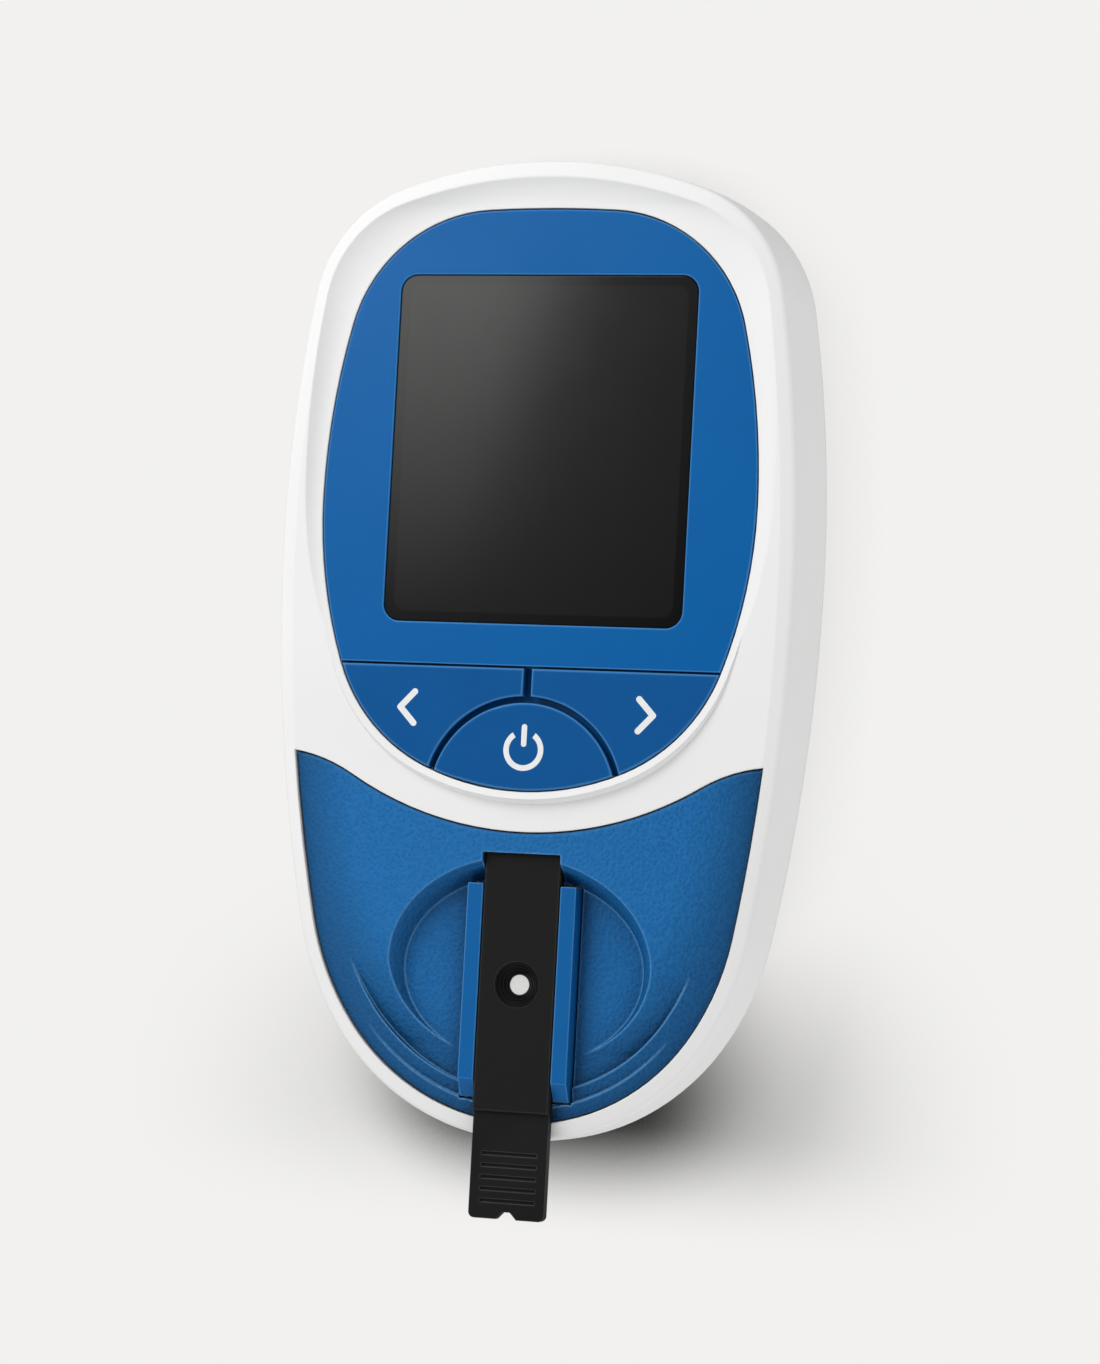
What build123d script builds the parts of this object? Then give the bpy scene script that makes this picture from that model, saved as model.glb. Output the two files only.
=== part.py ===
# Handheld cholesterol meter with a test strip in its slot.
# It lies on the rubber feet of its back: +Z leaves the display, +Y points to the display end,
# and the origin is under the middle of the overall length, strip included.
import os
from math import cos, radians, sin, sqrt, tan

from build123d import *

os.makedirs("parts", exist_ok=True)

# Overall size
body_length = 130.0
body_width = 72.0
strip_overhang = 10.1
widest_from_heel = 77.0

# Heights above the surface that the meter lies on
foot_height = 0.8
parting_height = 9.8
bulge_height = 12.0
panel_height = 23.2
crest_rise = 1.6

# White housing
front_radius = 1250.0
wall_bulge_radius = 92.0
rim_land = 1.9
rim_drop = 0.6
rim_round = 0.9
ring_width = 6.0
shell_wall = 2.0
wall_lean = 0.6
back_start_angle = 6.0
back_turn_angle = 35.0
back_corner_radius = 7.0
lip_thickness = 1.0
lip_height = 1.5
lip_root_height = 2.5
lip_clearance = 0.1
cover_deck_below_panel = 7.0
cover_deck_thickness = 1.8
bridge_wall = 1.8

# Arcs of each outline: corner radius, then the turn of its end arc and of its side arc
body_upper_arcs = (18.9, 20.2, 9.7)
body_lower_arcs = (37.7, 55.0, 11.0)
panel_upper_arcs = (19.9, 3.0, 13.9)
panel_lower_arcs = (23.0, 23.7, 19.7)

# Display panel, its bowl and the window
window_from_heel = 91.0
window_width = 41.2
window_length = 46.4
window_corner = 2.3
window_sink = 0.3
lens_thickness = 1.2
lens_gap = 0.1
lens_ledge = 1.3
panel_side_land = 6.15
panel_widest_below_window = 7.0
panel_rise = 38.95
panel_fall = 38.1
panel_thickness = 2.2
panel_gap = 0.14
panel_edge_round = 0.15
bowl_wall = 1.5
bowl_ledge = 2.2
bowl_depth = 5.0
cove_inset = 0.25
cove_end_run = 3.0
cove_overlap = 0.1
lip_rise = 0.25
lip_width = 1.1
lip_skirt = 4.0
lip_skirt_run = 1.6

# Keys
key_line_below_window = 28.85
key_thickness = 1.6
key_travel = 0.6
key_split = 1.1
key_channel = 0.85
key_edge_round = 0.25
power_key_radius = 12.8
power_key_centre_below_window = 46.3
key_deck_clearance = 0.2
key_deck_thickness = 1.2
side_stem_x = 15.5
side_stem_below_window = 34.0
side_stem_width = 7.0
side_stem_length = 3.2
power_stem_radius = 2.8
power_stem_below_window = 39.0
stem_clearance = 0.15

# Key switches
switch_side = 4.6
switch_height = 1.4
switch_room = 1.0
plunger_radius = 1.0
plunger_clearance = 0.05
plunger_proud = 0.75
plunger_sunk = 0.7
plunger_end_gap = 0.05

# Lower cover: edge line, finger dish and the two steps along its end
cover_inset = 2.35
cover_gap = 0.15
cover_line_below_window = 50.4
cover_line_radius = 46.0
cover_line_half_angle = 31.4
cover_flare_radius = 21.0
cover_flare_angle = 27.0
cover_flare_run = 12.0
cover_wall = 2.0
cover_edge_round = 0.3
cover_slope_width = 2.3
cover_slope_drop = 0.45
cover_slope_round = 8.0
dish_centre_below_window = 68.5
dish_half_width = 18.2
dish_half_length = 14.2
dish_wall_slope = 1.7
dish_floor_thickness = 1.6
rail_height = 2.5
scoop_inset = 3.8
scoop_start_below_window = 68.0
scoop_slope = 11.8
step_inset = 1.9
step_start_below_window = 74.5
step_slope = 8.2

# Test strip
strip_width = 10.4
strip_inner_below_window = 47.6
strip_base_thickness = 1.2
strip_top_thickness = 0.75
strip_above_deck = 2.5
strip_top_length = 39.5
strip_corner = 0.8
strip_edge_bevel = 0.15
grip_count = 5
grip_pitch = 1.54
grip_first_from_tip = 2.35
grip_length = 7.6
grip_width = 0.5
grip_depth = 0.3
notch_outer = 2.8
notch_inner = 1.0
notch_depth = 0.95
well_below_window = 70.4
well_mouth_radius = 3.05
well_floor_radius = 1.3
well_depth = 1.35
pad_radius = 2.45
pad_thickness = 0.4
pad_clearance = 0.05
strip_bore_radius = 1.6
window_bore_radius = 1.9

# Strip guide with its two rails
strip_side_clearance = 0.15
strip_floor_clearance = 0.1
slot_clearance = 0.15
strip_end_clearance = 0.3
slot_notch_length = 4.1
rail_width = 2.1
guide_gap = 0.3
guide_start_below_window = 57.3
guide_end_below_window = 85.4
rail_chamfer_run = 2.4
rail_chamfer_drop = 1.7

# Optics below the strip
optics_window_radius = 2.5
optics_window_thickness = 0.7
optics_window_clearance = 0.05
nose_web = 0.4
nose_radius = 3.0
nose_clearance = 0.2
nose_gap = 0.1
optics_block_width = 15.0
optics_block_length = 16.0
optics_height = 6.4
light_cone_radius = 1.7
board_thickness = 1.2
board_clearance = 0.3
optics_board_width = 25.0
optics_board_length = 24.0
optics_board_corner = 1.5
optics_boss = (10.0, 9.1)
led_radius = 1.5
led_height = 3.4
led_offset = 4.6
diode_side = 3.0
diode_height = 0.8
component_clearance = 0.1

# Main board and what it carries: places run from the panel's widest line inwards, and from the
# window's middle upwards
main_board_grow = 1.2
board_boss_radius = 2.4
bowl_boss = ((2.85, 14.0), (5.45, -31.0))
chip_side = 9.0
chip_height = 1.1
chip_place = (7.85, -8.0)
buzzer_radius = 7.0
buzzer_height = 2.4
buzzer_place = (7.35, -8.0)

# Display module
lcd_frame_margin = 0.5
lcd_frame_wall = 1.2
lcd_frame_lip = 0.4
lcd_frame_gap = 0.1
lcd_glass_thickness = 2.0
lcd_clearance = 0.1
lcd_frame_corner = 1.0
lcd_glass_corner = 0.5
backlight_thickness = 0.5
connector_width = 36.0
connector_thickness = 2.0
connector_inset = 0.4

# Batteries and their door
cell_radius = 5.25
cell_length = 43.6
cell_nub_radius = 1.9
cell_nub_length = 0.9
cell_spacing = 11.2
cell_centre_below_window = 4.5
cell_clearance = 0.3
contact_room = 2.0
contact_thickness = 0.35
contact_width = 8.0
contact_height = 8.0
contact_tip_radius = 2.0
contact_foot_radius = 3.2
bay_wall = 1.2
bay_roof = 1.2
door_thickness = 1.8
door_gap = 0.2
door_ledge = 0.45
tongue_x = 6.0
tongue_width = 5.0
tongue_length = 2.7
tongue_thickness = 1.0
tongue_lap = 1.6
tongue_lift = 1.15
tongue_pocket_height = 4.2
tongue_pocket_length = 3.9
tongue_pocket_gap = 0.1
grip_hollow_radius = 9.0
grip_hollow_depth = 0.7
grip_hollow_edge = 2.0
door_rib_count = 4
door_rib_pitch = 1.8
door_rib_width = 0.8
door_rib_length = 9.0

# Screws and feet
screw_radius = 1.2
screw_clearance = 0.03
screw_pass = 0.25
boss_pass = 0.3
screw_head_radius = 2.3
screw_head_height = 1.7
screw_head_gap = 0.3
screw_length = 9.0
screw_tip_room = 0.5
screw_head_depth = 3.5
screw_floor = 2.4
screw_slot = 0.6
screw_slot_share = 0.6
boss_radius = 3.0
rear_boss_wall = 0.6
upper_boss = (16.85, 28.0)
lower_boss = (16.0, -64.0)
board_screw_radius = 0.9
board_screw_head_radius = 1.9
board_screw_head_height = 1.2
board_screw_length = 2.9
foot_radius = 3.5
foot_sink = 0.6
foot_places = ((19.0, 14.0), (9.0, -74.0))
foot_edge = 0.3

# Ribbon between the two boards
ribbon_width = 8.0
ribbon_thickness = 0.3
ribbon_bend = 2.0
ribbon_lap = 5.0

# Places that follow from the sizes above
tip_y = -(body_length + strip_overhang) / 2
heel_y = tip_y + strip_overhang
crown_y = heel_y + body_length
widest_y = heel_y + widest_from_heel
panel_half_width = body_width / 2 - panel_side_land
window_y = heel_y + window_from_heel
crest_height = panel_height + crest_rise
panel_bottom = panel_height - panel_thickness
key_line_y = window_y - key_line_below_window
key_bottom = panel_height - key_thickness
key_deck_top = key_bottom - key_travel - key_deck_clearance
key_deck_bottom = key_deck_top - key_deck_thickness
key_wall_end = key_line_y + panel_gap + key_deck_thickness
bowl_bottom = panel_height - bowl_depth
cover_deck_height = panel_height - cover_deck_below_panel
strip_bottom_height = cover_deck_height + strip_above_deck
strip_top_height = strip_bottom_height + strip_base_thickness + strip_top_thickness
pad_top = strip_top_height - well_depth
pad_bottom = pad_top - pad_thickness
dish_floor = strip_top_height - rail_height
guide_floor = strip_bottom_height - strip_floor_clearance
optics_window_bottom = guide_floor - optics_window_thickness
nose_top = optics_window_bottom - nose_web - nose_gap
main_board_top = key_deck_bottom - switch_room - switch_height
main_board_height = main_board_top - board_thickness
switch_top = main_board_top + switch_height
stem_bottom = switch_top + plunger_proud
side_stem_y = window_y - side_stem_below_window
power_stem_y = window_y - power_stem_below_window
power_key_y = window_y - power_key_centre_below_window
dish_y = window_y - dish_centre_below_window
lcd_frame_width = window_width + 2 * lcd_frame_margin
lcd_frame_length = window_length + 2 * lcd_frame_margin
lcd_width = lcd_frame_width - 2 * lcd_frame_wall - 2 * lcd_clearance
lcd_length = lcd_frame_length - 2 * lcd_frame_wall - 2 * lcd_clearance
lcd_top = panel_bottom - lcd_frame_gap - lcd_frame_lip
lcd_bottom = lcd_top - lcd_glass_thickness
deck_bottom = cover_deck_height - cover_deck_thickness
optics_board_top = deck_bottom - optics_height
optics_board_bottom = optics_board_top - board_thickness
channel_half = strip_width / 2 + strip_side_clearance
rail_outer = channel_half + rail_width
guide_opening = rail_outer + guide_gap
guide_start_y = window_y - guide_start_below_window
guide_end_y = window_y - guide_end_below_window
well_y = window_y - well_below_window
strip_inner_y = window_y - strip_inner_below_window
back_inner = foot_height + shell_wall
screw_seat = foot_height + screw_head_depth
boss_split = screw_seat + screw_floor
cell_y = window_y - cell_centre_below_window
bay_half_width = cell_spacing / 2 + cell_radius + cell_clearance
bay_half_length = (cell_length + cell_nub_length) / 2 + contact_room
door_top = foot_height + door_thickness
cell_z = door_top + cell_clearance + cell_radius
bay_top = cell_z + cell_radius + cell_clearance
hinge_y = cell_y + bay_half_length + door_ledge - door_gap
reach = 200.0
past = 1.0
edge_match = 0.02
shortest_edge = 0.1
sunk = 0.5


def wall_lean_at(height):
    """How far the side wall leans in at a height above its widest line."""
    return wall_bulge_radius - sqrt(wall_bulge_radius**2 - height**2)


crest_inset = rim_land + wall_lean_at(crest_height - bulge_height)
crest_y = crown_y - crest_inset

body_outline = dict(
    half=body_width / 2, wide=widest_y, rise=crown_y - widest_y, fall=widest_y - heel_y,
    upper=body_upper_arcs, lower=body_lower_arcs)
panel_outline = dict(
    half=panel_half_width, wide=window_y - panel_widest_below_window, rise=panel_rise,
    fall=panel_fall, upper=panel_upper_arcs, lower=panel_lower_arcs)


def quarter(width, height, corner, end_turn, side_turn):
    """Radii and turns of three tangent arcs from the middle of an end to the widest point."""
    turns = (0, radians(end_turn), radians(90 - side_turn), radians(90))
    across = [sin(turns[i + 1]) - sin(turns[i]) for i in range(3)]
    along = [cos(turns[i]) - cos(turns[i + 1]) for i in range(3)]
    w = width - corner * across[1]
    h = height - corner * along[1]
    scale = across[0] * along[2] - across[2] * along[0]
    end_radius = (w * along[2] - h * across[2]) / scale
    side_radius = (across[0] * h - along[0] * w) / scale
    return [(end_radius, end_turn), (corner, 90 - end_turn - side_turn), (side_radius, side_turn)]


def outline(shape, grow=0.0):
    """Closed wire of twelve tangent arcs, symmetric about X = 0, grown outwards."""
    arcs = quarter(shape["half"], shape["rise"], *shape["upper"])
    arcs += quarter(shape["half"], shape["fall"], *shape["lower"])[::-1]
    x, y, heading = 0.0, shape["wide"] + shape["rise"] + grow, 0.0
    right = []
    for base_radius, turn in arcs:
        radius = base_radius + grow
        points = [(x, y)]
        for part in (0.5, 1.0):
            a, b = radians(heading), radians(heading + turn * part)
            points.append((x + radius * (sin(b) - sin(a)), y - radius * (cos(a) - cos(b))))
        right.append(points)
        x, y = points[-1]
        heading += turn
    right[-1][-1] = (0.0, y)
    left = [[(-px, py) for px, py in points[::-1]] for points in right[::-1]]
    return Wire([ThreePointArc(*points) for points in right + left])


def prism(wire, low, high):
    return extrude(Pos(0, 0, low) * Face(wire), high - low, dir=(0, 0, 1))


def box(x0, x1, y0, y1, z0, z1):
    return Pos((x0 + x1) / 2, (y0 + y1) / 2, (z0 + z1) / 2) * Box(x1 - x0, y1 - y0, z1 - z0)


def rod(x, y, radius, low, high):
    return Pos(x, y, (low + high) / 2) * Cylinder(radius, high - low)


def plate(width, length, corner, y, low, high):
    sketch = Pos(0, y, low) * RectangleRounded(width, length, corner)
    return extrude(sketch, high - low)


def inside_panel(place):
    """Offset whose X is given from the panel's widest line inwards."""
    return (panel_half_width - place[0], place[1])


def both_sides(*offsets):
    """Mirrored places of offsets from the middle of the window."""
    return [(side * x, window_y + y) for x, y in offsets for side in (-1, 1)]


housing_places = both_sides(inside_panel(upper_boss), lower_boss)
bowl_places = both_sides(*map(inside_panel, bowl_boss))
optics_places = both_sides((optics_boss[0], optics_boss[1] - well_below_window))
feet = both_sides(*foot_places)


def side_slab(points):
    """Prism along X over a closed profile of (y, z) points."""
    wire = Wire(Polyline(*[(0, y, z) for y, z in points], close=True))
    return extrude(Face(wire), reach, dir=(1, 0, 0), both=True)


def front_height(y, drop=0.0):
    """Height of the gently arched front face above the resting surface."""
    return crest_height - drop - front_radius + sqrt(front_radius**2 - (y - crest_y) ** 2)


def below_front(drop=0.0):
    low, high = tip_y - past, crown_y + past
    middle = (low + high) / 2
    far_end = (0, high, front_height(high, drop))
    near_end = (0, low, front_height(low, drop))
    arch = ThreePointArc(far_end, (0, middle, front_height(middle, drop)), near_end)
    rest = Polyline(near_end, (0, low, -past), (0, high, -past), far_end)
    return extrude(Face(Wire([arch] + rest.edges())), reach, dir=(1, 0, 0), both=True)


def below_slope(start_below_window, slope):
    """Space under a plane that leaves the front face at a line and falls to the heel."""
    y0 = window_y - start_below_window
    z0 = front_height(y0)
    far_z = z0 - (y0 + reach) * tan(radians(slope))
    return side_slab([(-reach, -reach), (y0, -reach), (y0, z0), (-reach, far_z)])


def ring_from_profile(edges):
    """Body of a vertical profile carried round the body outline."""
    return sweep(Face(Wire(edges)), path=outline(body_outline))


def front_blank():
    top = crest_height + past
    rise = top - bulge_height
    y_in = crown_y - ring_width
    middle = (0, crown_y - wall_lean_at(rise / 2), bulge_height + rise / 2)
    upper = (0, crown_y - wall_lean_at(rise), top)
    ring = ring_from_profile([
        Line((0, y_in, parting_height), (0, crown_y, parting_height)),
        Line((0, crown_y, parting_height), (0, crown_y, bulge_height)),
        ThreePointArc((0, crown_y, bulge_height), middle, upper),
        Line(upper, (0, y_in, top)),
        Line((0, y_in, top), (0, y_in, parting_height)),
    ])
    core = prism(outline(body_outline, past - ring_width), parting_height, top)
    blank = (ring + core) & below_front()
    face = widest_upper_face(blank)
    land = chamfer(face.outer_wire().edges(), rim_land, rim_drop, reference=face)
    shoulder = [e for e in land.edges() if is_rim_shoulder(e)]
    return fillet(shoulder, rim_round)


def widest_upper_face(solid):
    upward = solid.faces().filter_by(lambda f: f.normal_at().Z > 0.8)
    return max(upward, key=lambda f: f.outer_wire().length)


def is_rim_shoulder(edge):
    """True on the edge between the sloped rim land and the side wall."""
    middle = edge.position_at(0.5)
    below = front_height(middle.Y) - middle.Z
    return abs(below - rim_drop) < 0.12 and edge.length > 1.0


def cover_region(offset):
    """Prism of everything on the heel side of the cover's upper edge line, moved up by offset."""
    centre_y = window_y - cover_line_below_window + cover_line_radius
    radius = cover_line_radius - offset
    half = radians(cover_line_half_angle)
    flare = cover_flare_radius + offset
    end = radians(cover_line_half_angle - cover_flare_angle)
    turn = (half + end) / 2
    a = (radius * sin(half), centre_y - radius * cos(half))
    flare_centre = (a[0] + flare * sin(half), a[1] - flare * cos(half))

    def on_flare(angle):
        return (flare_centre[0] - flare * sin(angle), flare_centre[1] + flare * cos(angle))

    b_mid, b = on_flare(turn), on_flare(end)
    c = (b[0] + cover_flare_run * cos(end), b[1] + cover_flare_run * sin(end))
    low = -reach

    def left(p):
        return (-p[0], p[1])

    edges = [
        ThreePointArc(left(a), (0, centre_y - radius), a), ThreePointArc(a, b_mid, b), Line(b, c),
        Line(c, (c[0], low)), Line((c[0], low), (-c[0], low)), Line((-c[0], low), left(c)),
        Line(left(c), left(b)), ThreePointArc(left(b), left(b_mid), left(a)),
    ]
    return prism(Wire(edges), 0, reach)


def mixed_outline(part):
    """Outline a share of the way from the panel's edge to the crest of the rim."""
    wide = panel_outline["wide"]
    inset = crest_inset + cove_inset
    ends = (
        (panel_half_width + panel_gap, body_outline["half"] - inset),
        (panel_rise + panel_gap, crown_y - inset - wide),
        (panel_fall + panel_gap, panel_fall + cove_end_run),
    )
    half, rise, fall = [start + (end - start) * part for start, end in ends]
    crest_arcs = (body_upper_arcs[0] - inset,) + body_upper_arcs[1:]
    panel_arcs = (panel_upper_arcs[0] + panel_gap,) + panel_upper_arcs[1:]
    upper = tuple(p + (c - p) * part for p, c in zip(panel_arcs, crest_arcs))
    lower = (panel_lower_arcs[0] + panel_gap,) + panel_lower_arcs[1:]
    return outline(dict(half=half, wide=wide, rise=rise, fall=fall, upper=upper, lower=lower))


def cove():
    """Hollow bowl that falls from the crest of the rim to the display panel."""
    parts = (-cove_overlap, 0.35, 0.7, 1.0)
    sections = [Pos(0, 0, panel_height + crest_rise * p * abs(p)) * Face(mixed_outline(p))
                for p in parts]
    return loft(sections) + prism(mixed_outline(1.0), crest_height, crest_height + past)


def front_shell():
    shell = front_blank()
    inner = outline(body_outline, -shell_wall - wall_lean)
    upper = prism(inner, parting_height, crest_height) & below_front(shell_wall)
    upper -= cover_region(bridge_wall)
    shell -= upper
    shell -= prism(inner, parting_height, deck_bottom)
    bowl = prism(outline(panel_outline, bowl_wall), bowl_bottom, crest_height) & below_front()
    shell += bowl
    lip_top = panel_height + lip_rise
    skirt_top = Pos(0, 0, lip_top) * Face(outline(panel_outline, lip_width))
    skirt_low = Pos(0, 0, lip_top - lip_skirt) * Face(outline(panel_outline, lip_width + lip_skirt_run))
    skirt = loft([skirt_low, skirt_top], ruled=True)
    shell += skirt - prism(outline(panel_outline), bowl_bottom, crest_height) - upper
    shell -= cove()
    shell -= prism(outline(panel_outline, panel_gap), panel_bottom, crest_height)
    key_zone = box(-reach, reach, -reach, key_wall_end + 2 * panel_gap, 0, reach)
    shell -= prism(outline(panel_outline, panel_gap), key_deck_bottom, panel_height) & key_zone
    shell -= prism(outline(panel_outline, -bowl_ledge), 0, panel_height)
    pocket = prism(outline(body_outline, -cover_inset), cover_deck_height, crest_height + past)
    shell -= pocket & cover_region(0)
    shell -= strip_tunnel()
    shell -= rod(0, well_y, nose_radius + nose_clearance, deck_bottom - past, guide_floor)
    hole = screw_radius + screw_clearance
    for (x, y), top in zip(housing_places, (bowl_bottom, bowl_bottom, deck_bottom, deck_bottom)):
        shell += rod(x, y, boss_radius, boss_split, top + sunk)
        shell -= rod(x, y, hole, boss_split - past, screw_seat + screw_length + screw_tip_room)
    hole = board_screw_radius + screw_clearance
    for places, board_low, top in (
            (bowl_places, main_board_height, bowl_bottom),
            (optics_places, optics_board_bottom, deck_bottom)):
        for x, y in places:
            shell += rod(x, y, board_boss_radius, board_low + board_thickness, top + sunk)
            shell -= rod(x, y, hole, 0, board_low + board_screw_length + screw_tip_room)
    return shell


def strip_tunnel():
    """Room for the strip: under the cover's band, and open above from the notch to the heel."""
    low = guide_floor
    high = strip_top_height + slot_clearance
    end = strip_inner_y + strip_end_clearance
    notch_y = guide_start_y + slot_notch_length
    under = box(-channel_half, channel_half, notch_y - past, end, low, high)
    return under + box(-channel_half, channel_half, tip_y, notch_y, low, reach)


def tub(inset):
    """Rounded back of the housing as a solid, moved inwards by inset."""
    floor = foot_height + inset
    corner = back_corner_radius - inset
    a0, a1 = radians(back_start_angle), radians(back_turn_angle)
    flank = (parting_height - floor - corner * (1 - sin(a1))) / (sin(a1) - sin(a0))
    y0 = crown_y - inset

    def on_flank(a):
        return (0, y0 - flank * (cos(a0) - cos(a)), parting_height - flank * (sin(a) - sin(a0)))

    turn = on_flank(a1)

    def on_corner(a):
        return (0, turn[1] - corner * (cos(a1) - cos(a)), turn[2] - corner * (sin(a) - sin(a1)))

    quarter_turn = radians(90)
    end = on_corner(quarter_turn)
    y_in = end[1] - past
    ring = ring_from_profile([
        Line((0, y_in, parting_height), (0, y0, parting_height)),
        ThreePointArc((0, y0, parting_height), on_flank((a0 + a1) / 2), turn),
        ThreePointArc(turn, on_corner((a1 + quarter_turn) / 2), end),
        Line(end, (0, y_in, end[2])),
        Line((0, y_in, end[2]), (0, y_in, parting_height)),
    ])
    core = prism(outline(body_outline, y_in + sunk - crown_y), floor, parting_height)
    return ring + core


def rear_shell():
    shell = tub(0) - tub(shell_wall)
    lip_outer = outline(body_outline, -shell_wall - wall_lean - lip_clearance)
    lip_inner = outline(body_outline, -shell_wall - wall_lean - lip_clearance - lip_thickness)
    lip_top = parting_height + lip_height - lip_clearance
    lip = prism(lip_outer, parting_height - lip_root_height, lip_top)
    lip -= prism(lip_inner, 0, crest_height)
    root = prism(outline(body_outline, -shell_wall / 2), parting_height - lip_root_height,
                 parting_height)
    under_deck = box(-reach, reach, -reach, reach, deck_bottom - lip_clearance, reach)
    lip -= cover_region(bridge_wall + lip_clearance) & under_deck
    shell += root - prism(lip_inner, 0, crest_height)
    shell += lip
    wall_x = bay_half_width + bay_wall
    wall_y = bay_half_length + bay_wall
    room = box(-bay_half_width, bay_half_width, cell_y - bay_half_length, cell_y + bay_half_length,
               0, bay_top)
    bay = box(-wall_x, wall_x, cell_y - wall_y, cell_y + wall_y, foot_height + sunk,
              bay_top + bay_roof)
    shell += bay
    shell -= room
    shell -= box(-bay_half_width - door_ledge, bay_half_width + door_ledge,
                 cell_y - bay_half_length - door_ledge, cell_y + bay_half_length + door_ledge,
                 0, door_top)
    for middle in (-tongue_x, tongue_x):
        half = tongue_width / 2 + door_gap
        low = foot_height + tongue_lift - tongue_pocket_gap
        shell -= box(middle - half, middle + half, cell_y + bay_half_length - sunk,
                     hinge_y + tongue_pocket_length, low, low + tongue_pocket_height)
    for x, y in housing_places:
        shell += rod(x, y, boss_radius + rear_boss_wall, foot_height + sunk, boss_split)
        shell -= rod(x, y, screw_head_radius + screw_head_gap, 0, screw_seat)
        shell -= rod(x, y, screw_radius + screw_pass, 0, boss_split + past)
    for x, y in feet:
        shell -= rod(x, y, foot_radius, 0, foot_height + foot_sink)
    return shell


def display_panel():
    shape = outline(panel_outline, -panel_gap / 2)
    above_keys = box(-reach, reach, key_line_y + panel_gap, reach, 0, reach)
    plate_part = prism(shape, panel_bottom, panel_height) & above_keys
    deck = prism(shape, key_deck_bottom, key_deck_top)
    deck &= box(-reach, reach, -reach, key_wall_end, 0, reach)
    web = prism(shape, key_deck_bottom, panel_height)
    web &= box(-reach, reach, key_line_y + panel_gap, key_wall_end, 0, reach)
    panel = plate_part + web + deck
    lens_floor = panel_height - window_sink - lens_thickness
    panel -= plate(window_width, window_length, window_corner, window_y, lens_floor, reach)
    panel = fillet(widest_upper_face(panel).edges(), panel_edge_round)
    panel -= plate(window_width - 2 * lens_ledge, window_length - 2 * lens_ledge,
                   window_corner - lens_ledge / 2, window_y, 0, reach)
    for x in (-side_stem_x, side_stem_x):
        panel -= side_stem(x, 0, panel_bottom, stem_clearance)
    hole = power_stem_radius + stem_clearance
    return panel - rod(0, power_stem_y, hole, key_deck_bottom - past, panel_bottom)


def side_stem(x, low, high, grow=0.0):
    half_width = side_stem_width / 2 + grow
    half_length = side_stem_length / 2 + grow
    return box(x - half_width, x + half_width, side_stem_y - half_length,
               side_stem_y + half_length, low, high)


def display_window():
    top = panel_height - window_sink
    return plate(window_width - 2 * lens_gap, window_length - 2 * lens_gap, window_corner - lens_gap,
                 window_y, top - lens_thickness, top)


def rounded_cap(cap):
    """Key cap with its upper rim eased."""
    top = cap.faces().sort_by(Axis.Z)[-1]
    return fillet(top.outer_wire().edges(), key_edge_round)


def key_field():
    field = prism(outline(panel_outline, -panel_gap / 2), key_bottom, panel_height)
    return field & box(-reach, reach, -reach, key_line_y - panel_gap, 0, reach)


def side_key(side):
    cap = key_field() & box(*sorted((0, side * reach)), -reach, reach, 0, reach)
    cap -= box(-key_split / 2, key_split / 2, -reach, reach, 0, reach)
    cap -= rod(0, power_key_y, power_key_radius + key_channel, 0, crest_height)
    return rounded_cap(cap) + side_stem(side * side_stem_x, stem_bottom, key_bottom + sunk)


def power_key():
    cap = key_field() & rod(0, power_key_y, power_key_radius, 0, crest_height)
    stem = rod(0, power_stem_y, power_stem_radius, stem_bottom, key_bottom + sunk)
    return rounded_cap(cap) + stem


def plunger(x, y):
    return rod(x, y, plunger_radius, switch_top - plunger_sunk, stem_bottom)


def key_switches():
    half = switch_side / 2
    group = []
    for x, y in ((-side_stem_x, side_stem_y), (side_stem_x, side_stem_y), (0, power_stem_y)):
        housing = box(x - half, x + half, y - half, y + half, main_board_top, switch_top)
        bore_floor = switch_top - plunger_sunk - key_travel - plunger_end_gap
        group.append(housing - rod(x, y, plunger_radius + plunger_clearance, bore_floor, reach))
    return Compound(children=group)


def edges_over(wire, face):
    """Edges of a face that run above a wire on the resting surface."""
    places = [(e, e.position_at(0.5)) for e in face.outer_wire().edges()]
    near = [e for e, p in places if wire.distance_to(Vector(p.X, p.Y, 0)) < edge_match]
    return [e for e in near if e.length > shortest_edge]


def upper_border(cover):
    """Edges where the cover's outer walls meet its upper side."""
    walls = cover.faces().filter_by(lambda f: abs(f.normal_at().Z) < edge_match)
    level = [e for f in walls for e in f.edges() if abs(e.tangent_at(0.5).Z) < 0.5]
    return [e for e in level if e.position_at(0.5).Z > cover_deck_height + sunk]


def dish():
    rise = crest_height - dish_floor
    spread = dish_wall_slope * rise / rail_height
    floor_x = dish_half_width - dish_wall_slope
    floor_y = dish_half_length - dish_wall_slope
    low = Pos(0, dish_y, dish_floor) * Ellipse(floor_x, floor_y)
    high = Pos(0, dish_y, crest_height) * Ellipse(floor_x + spread, floor_y + spread)
    return loft([low.face(), high.face()], ruled=True)


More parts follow.
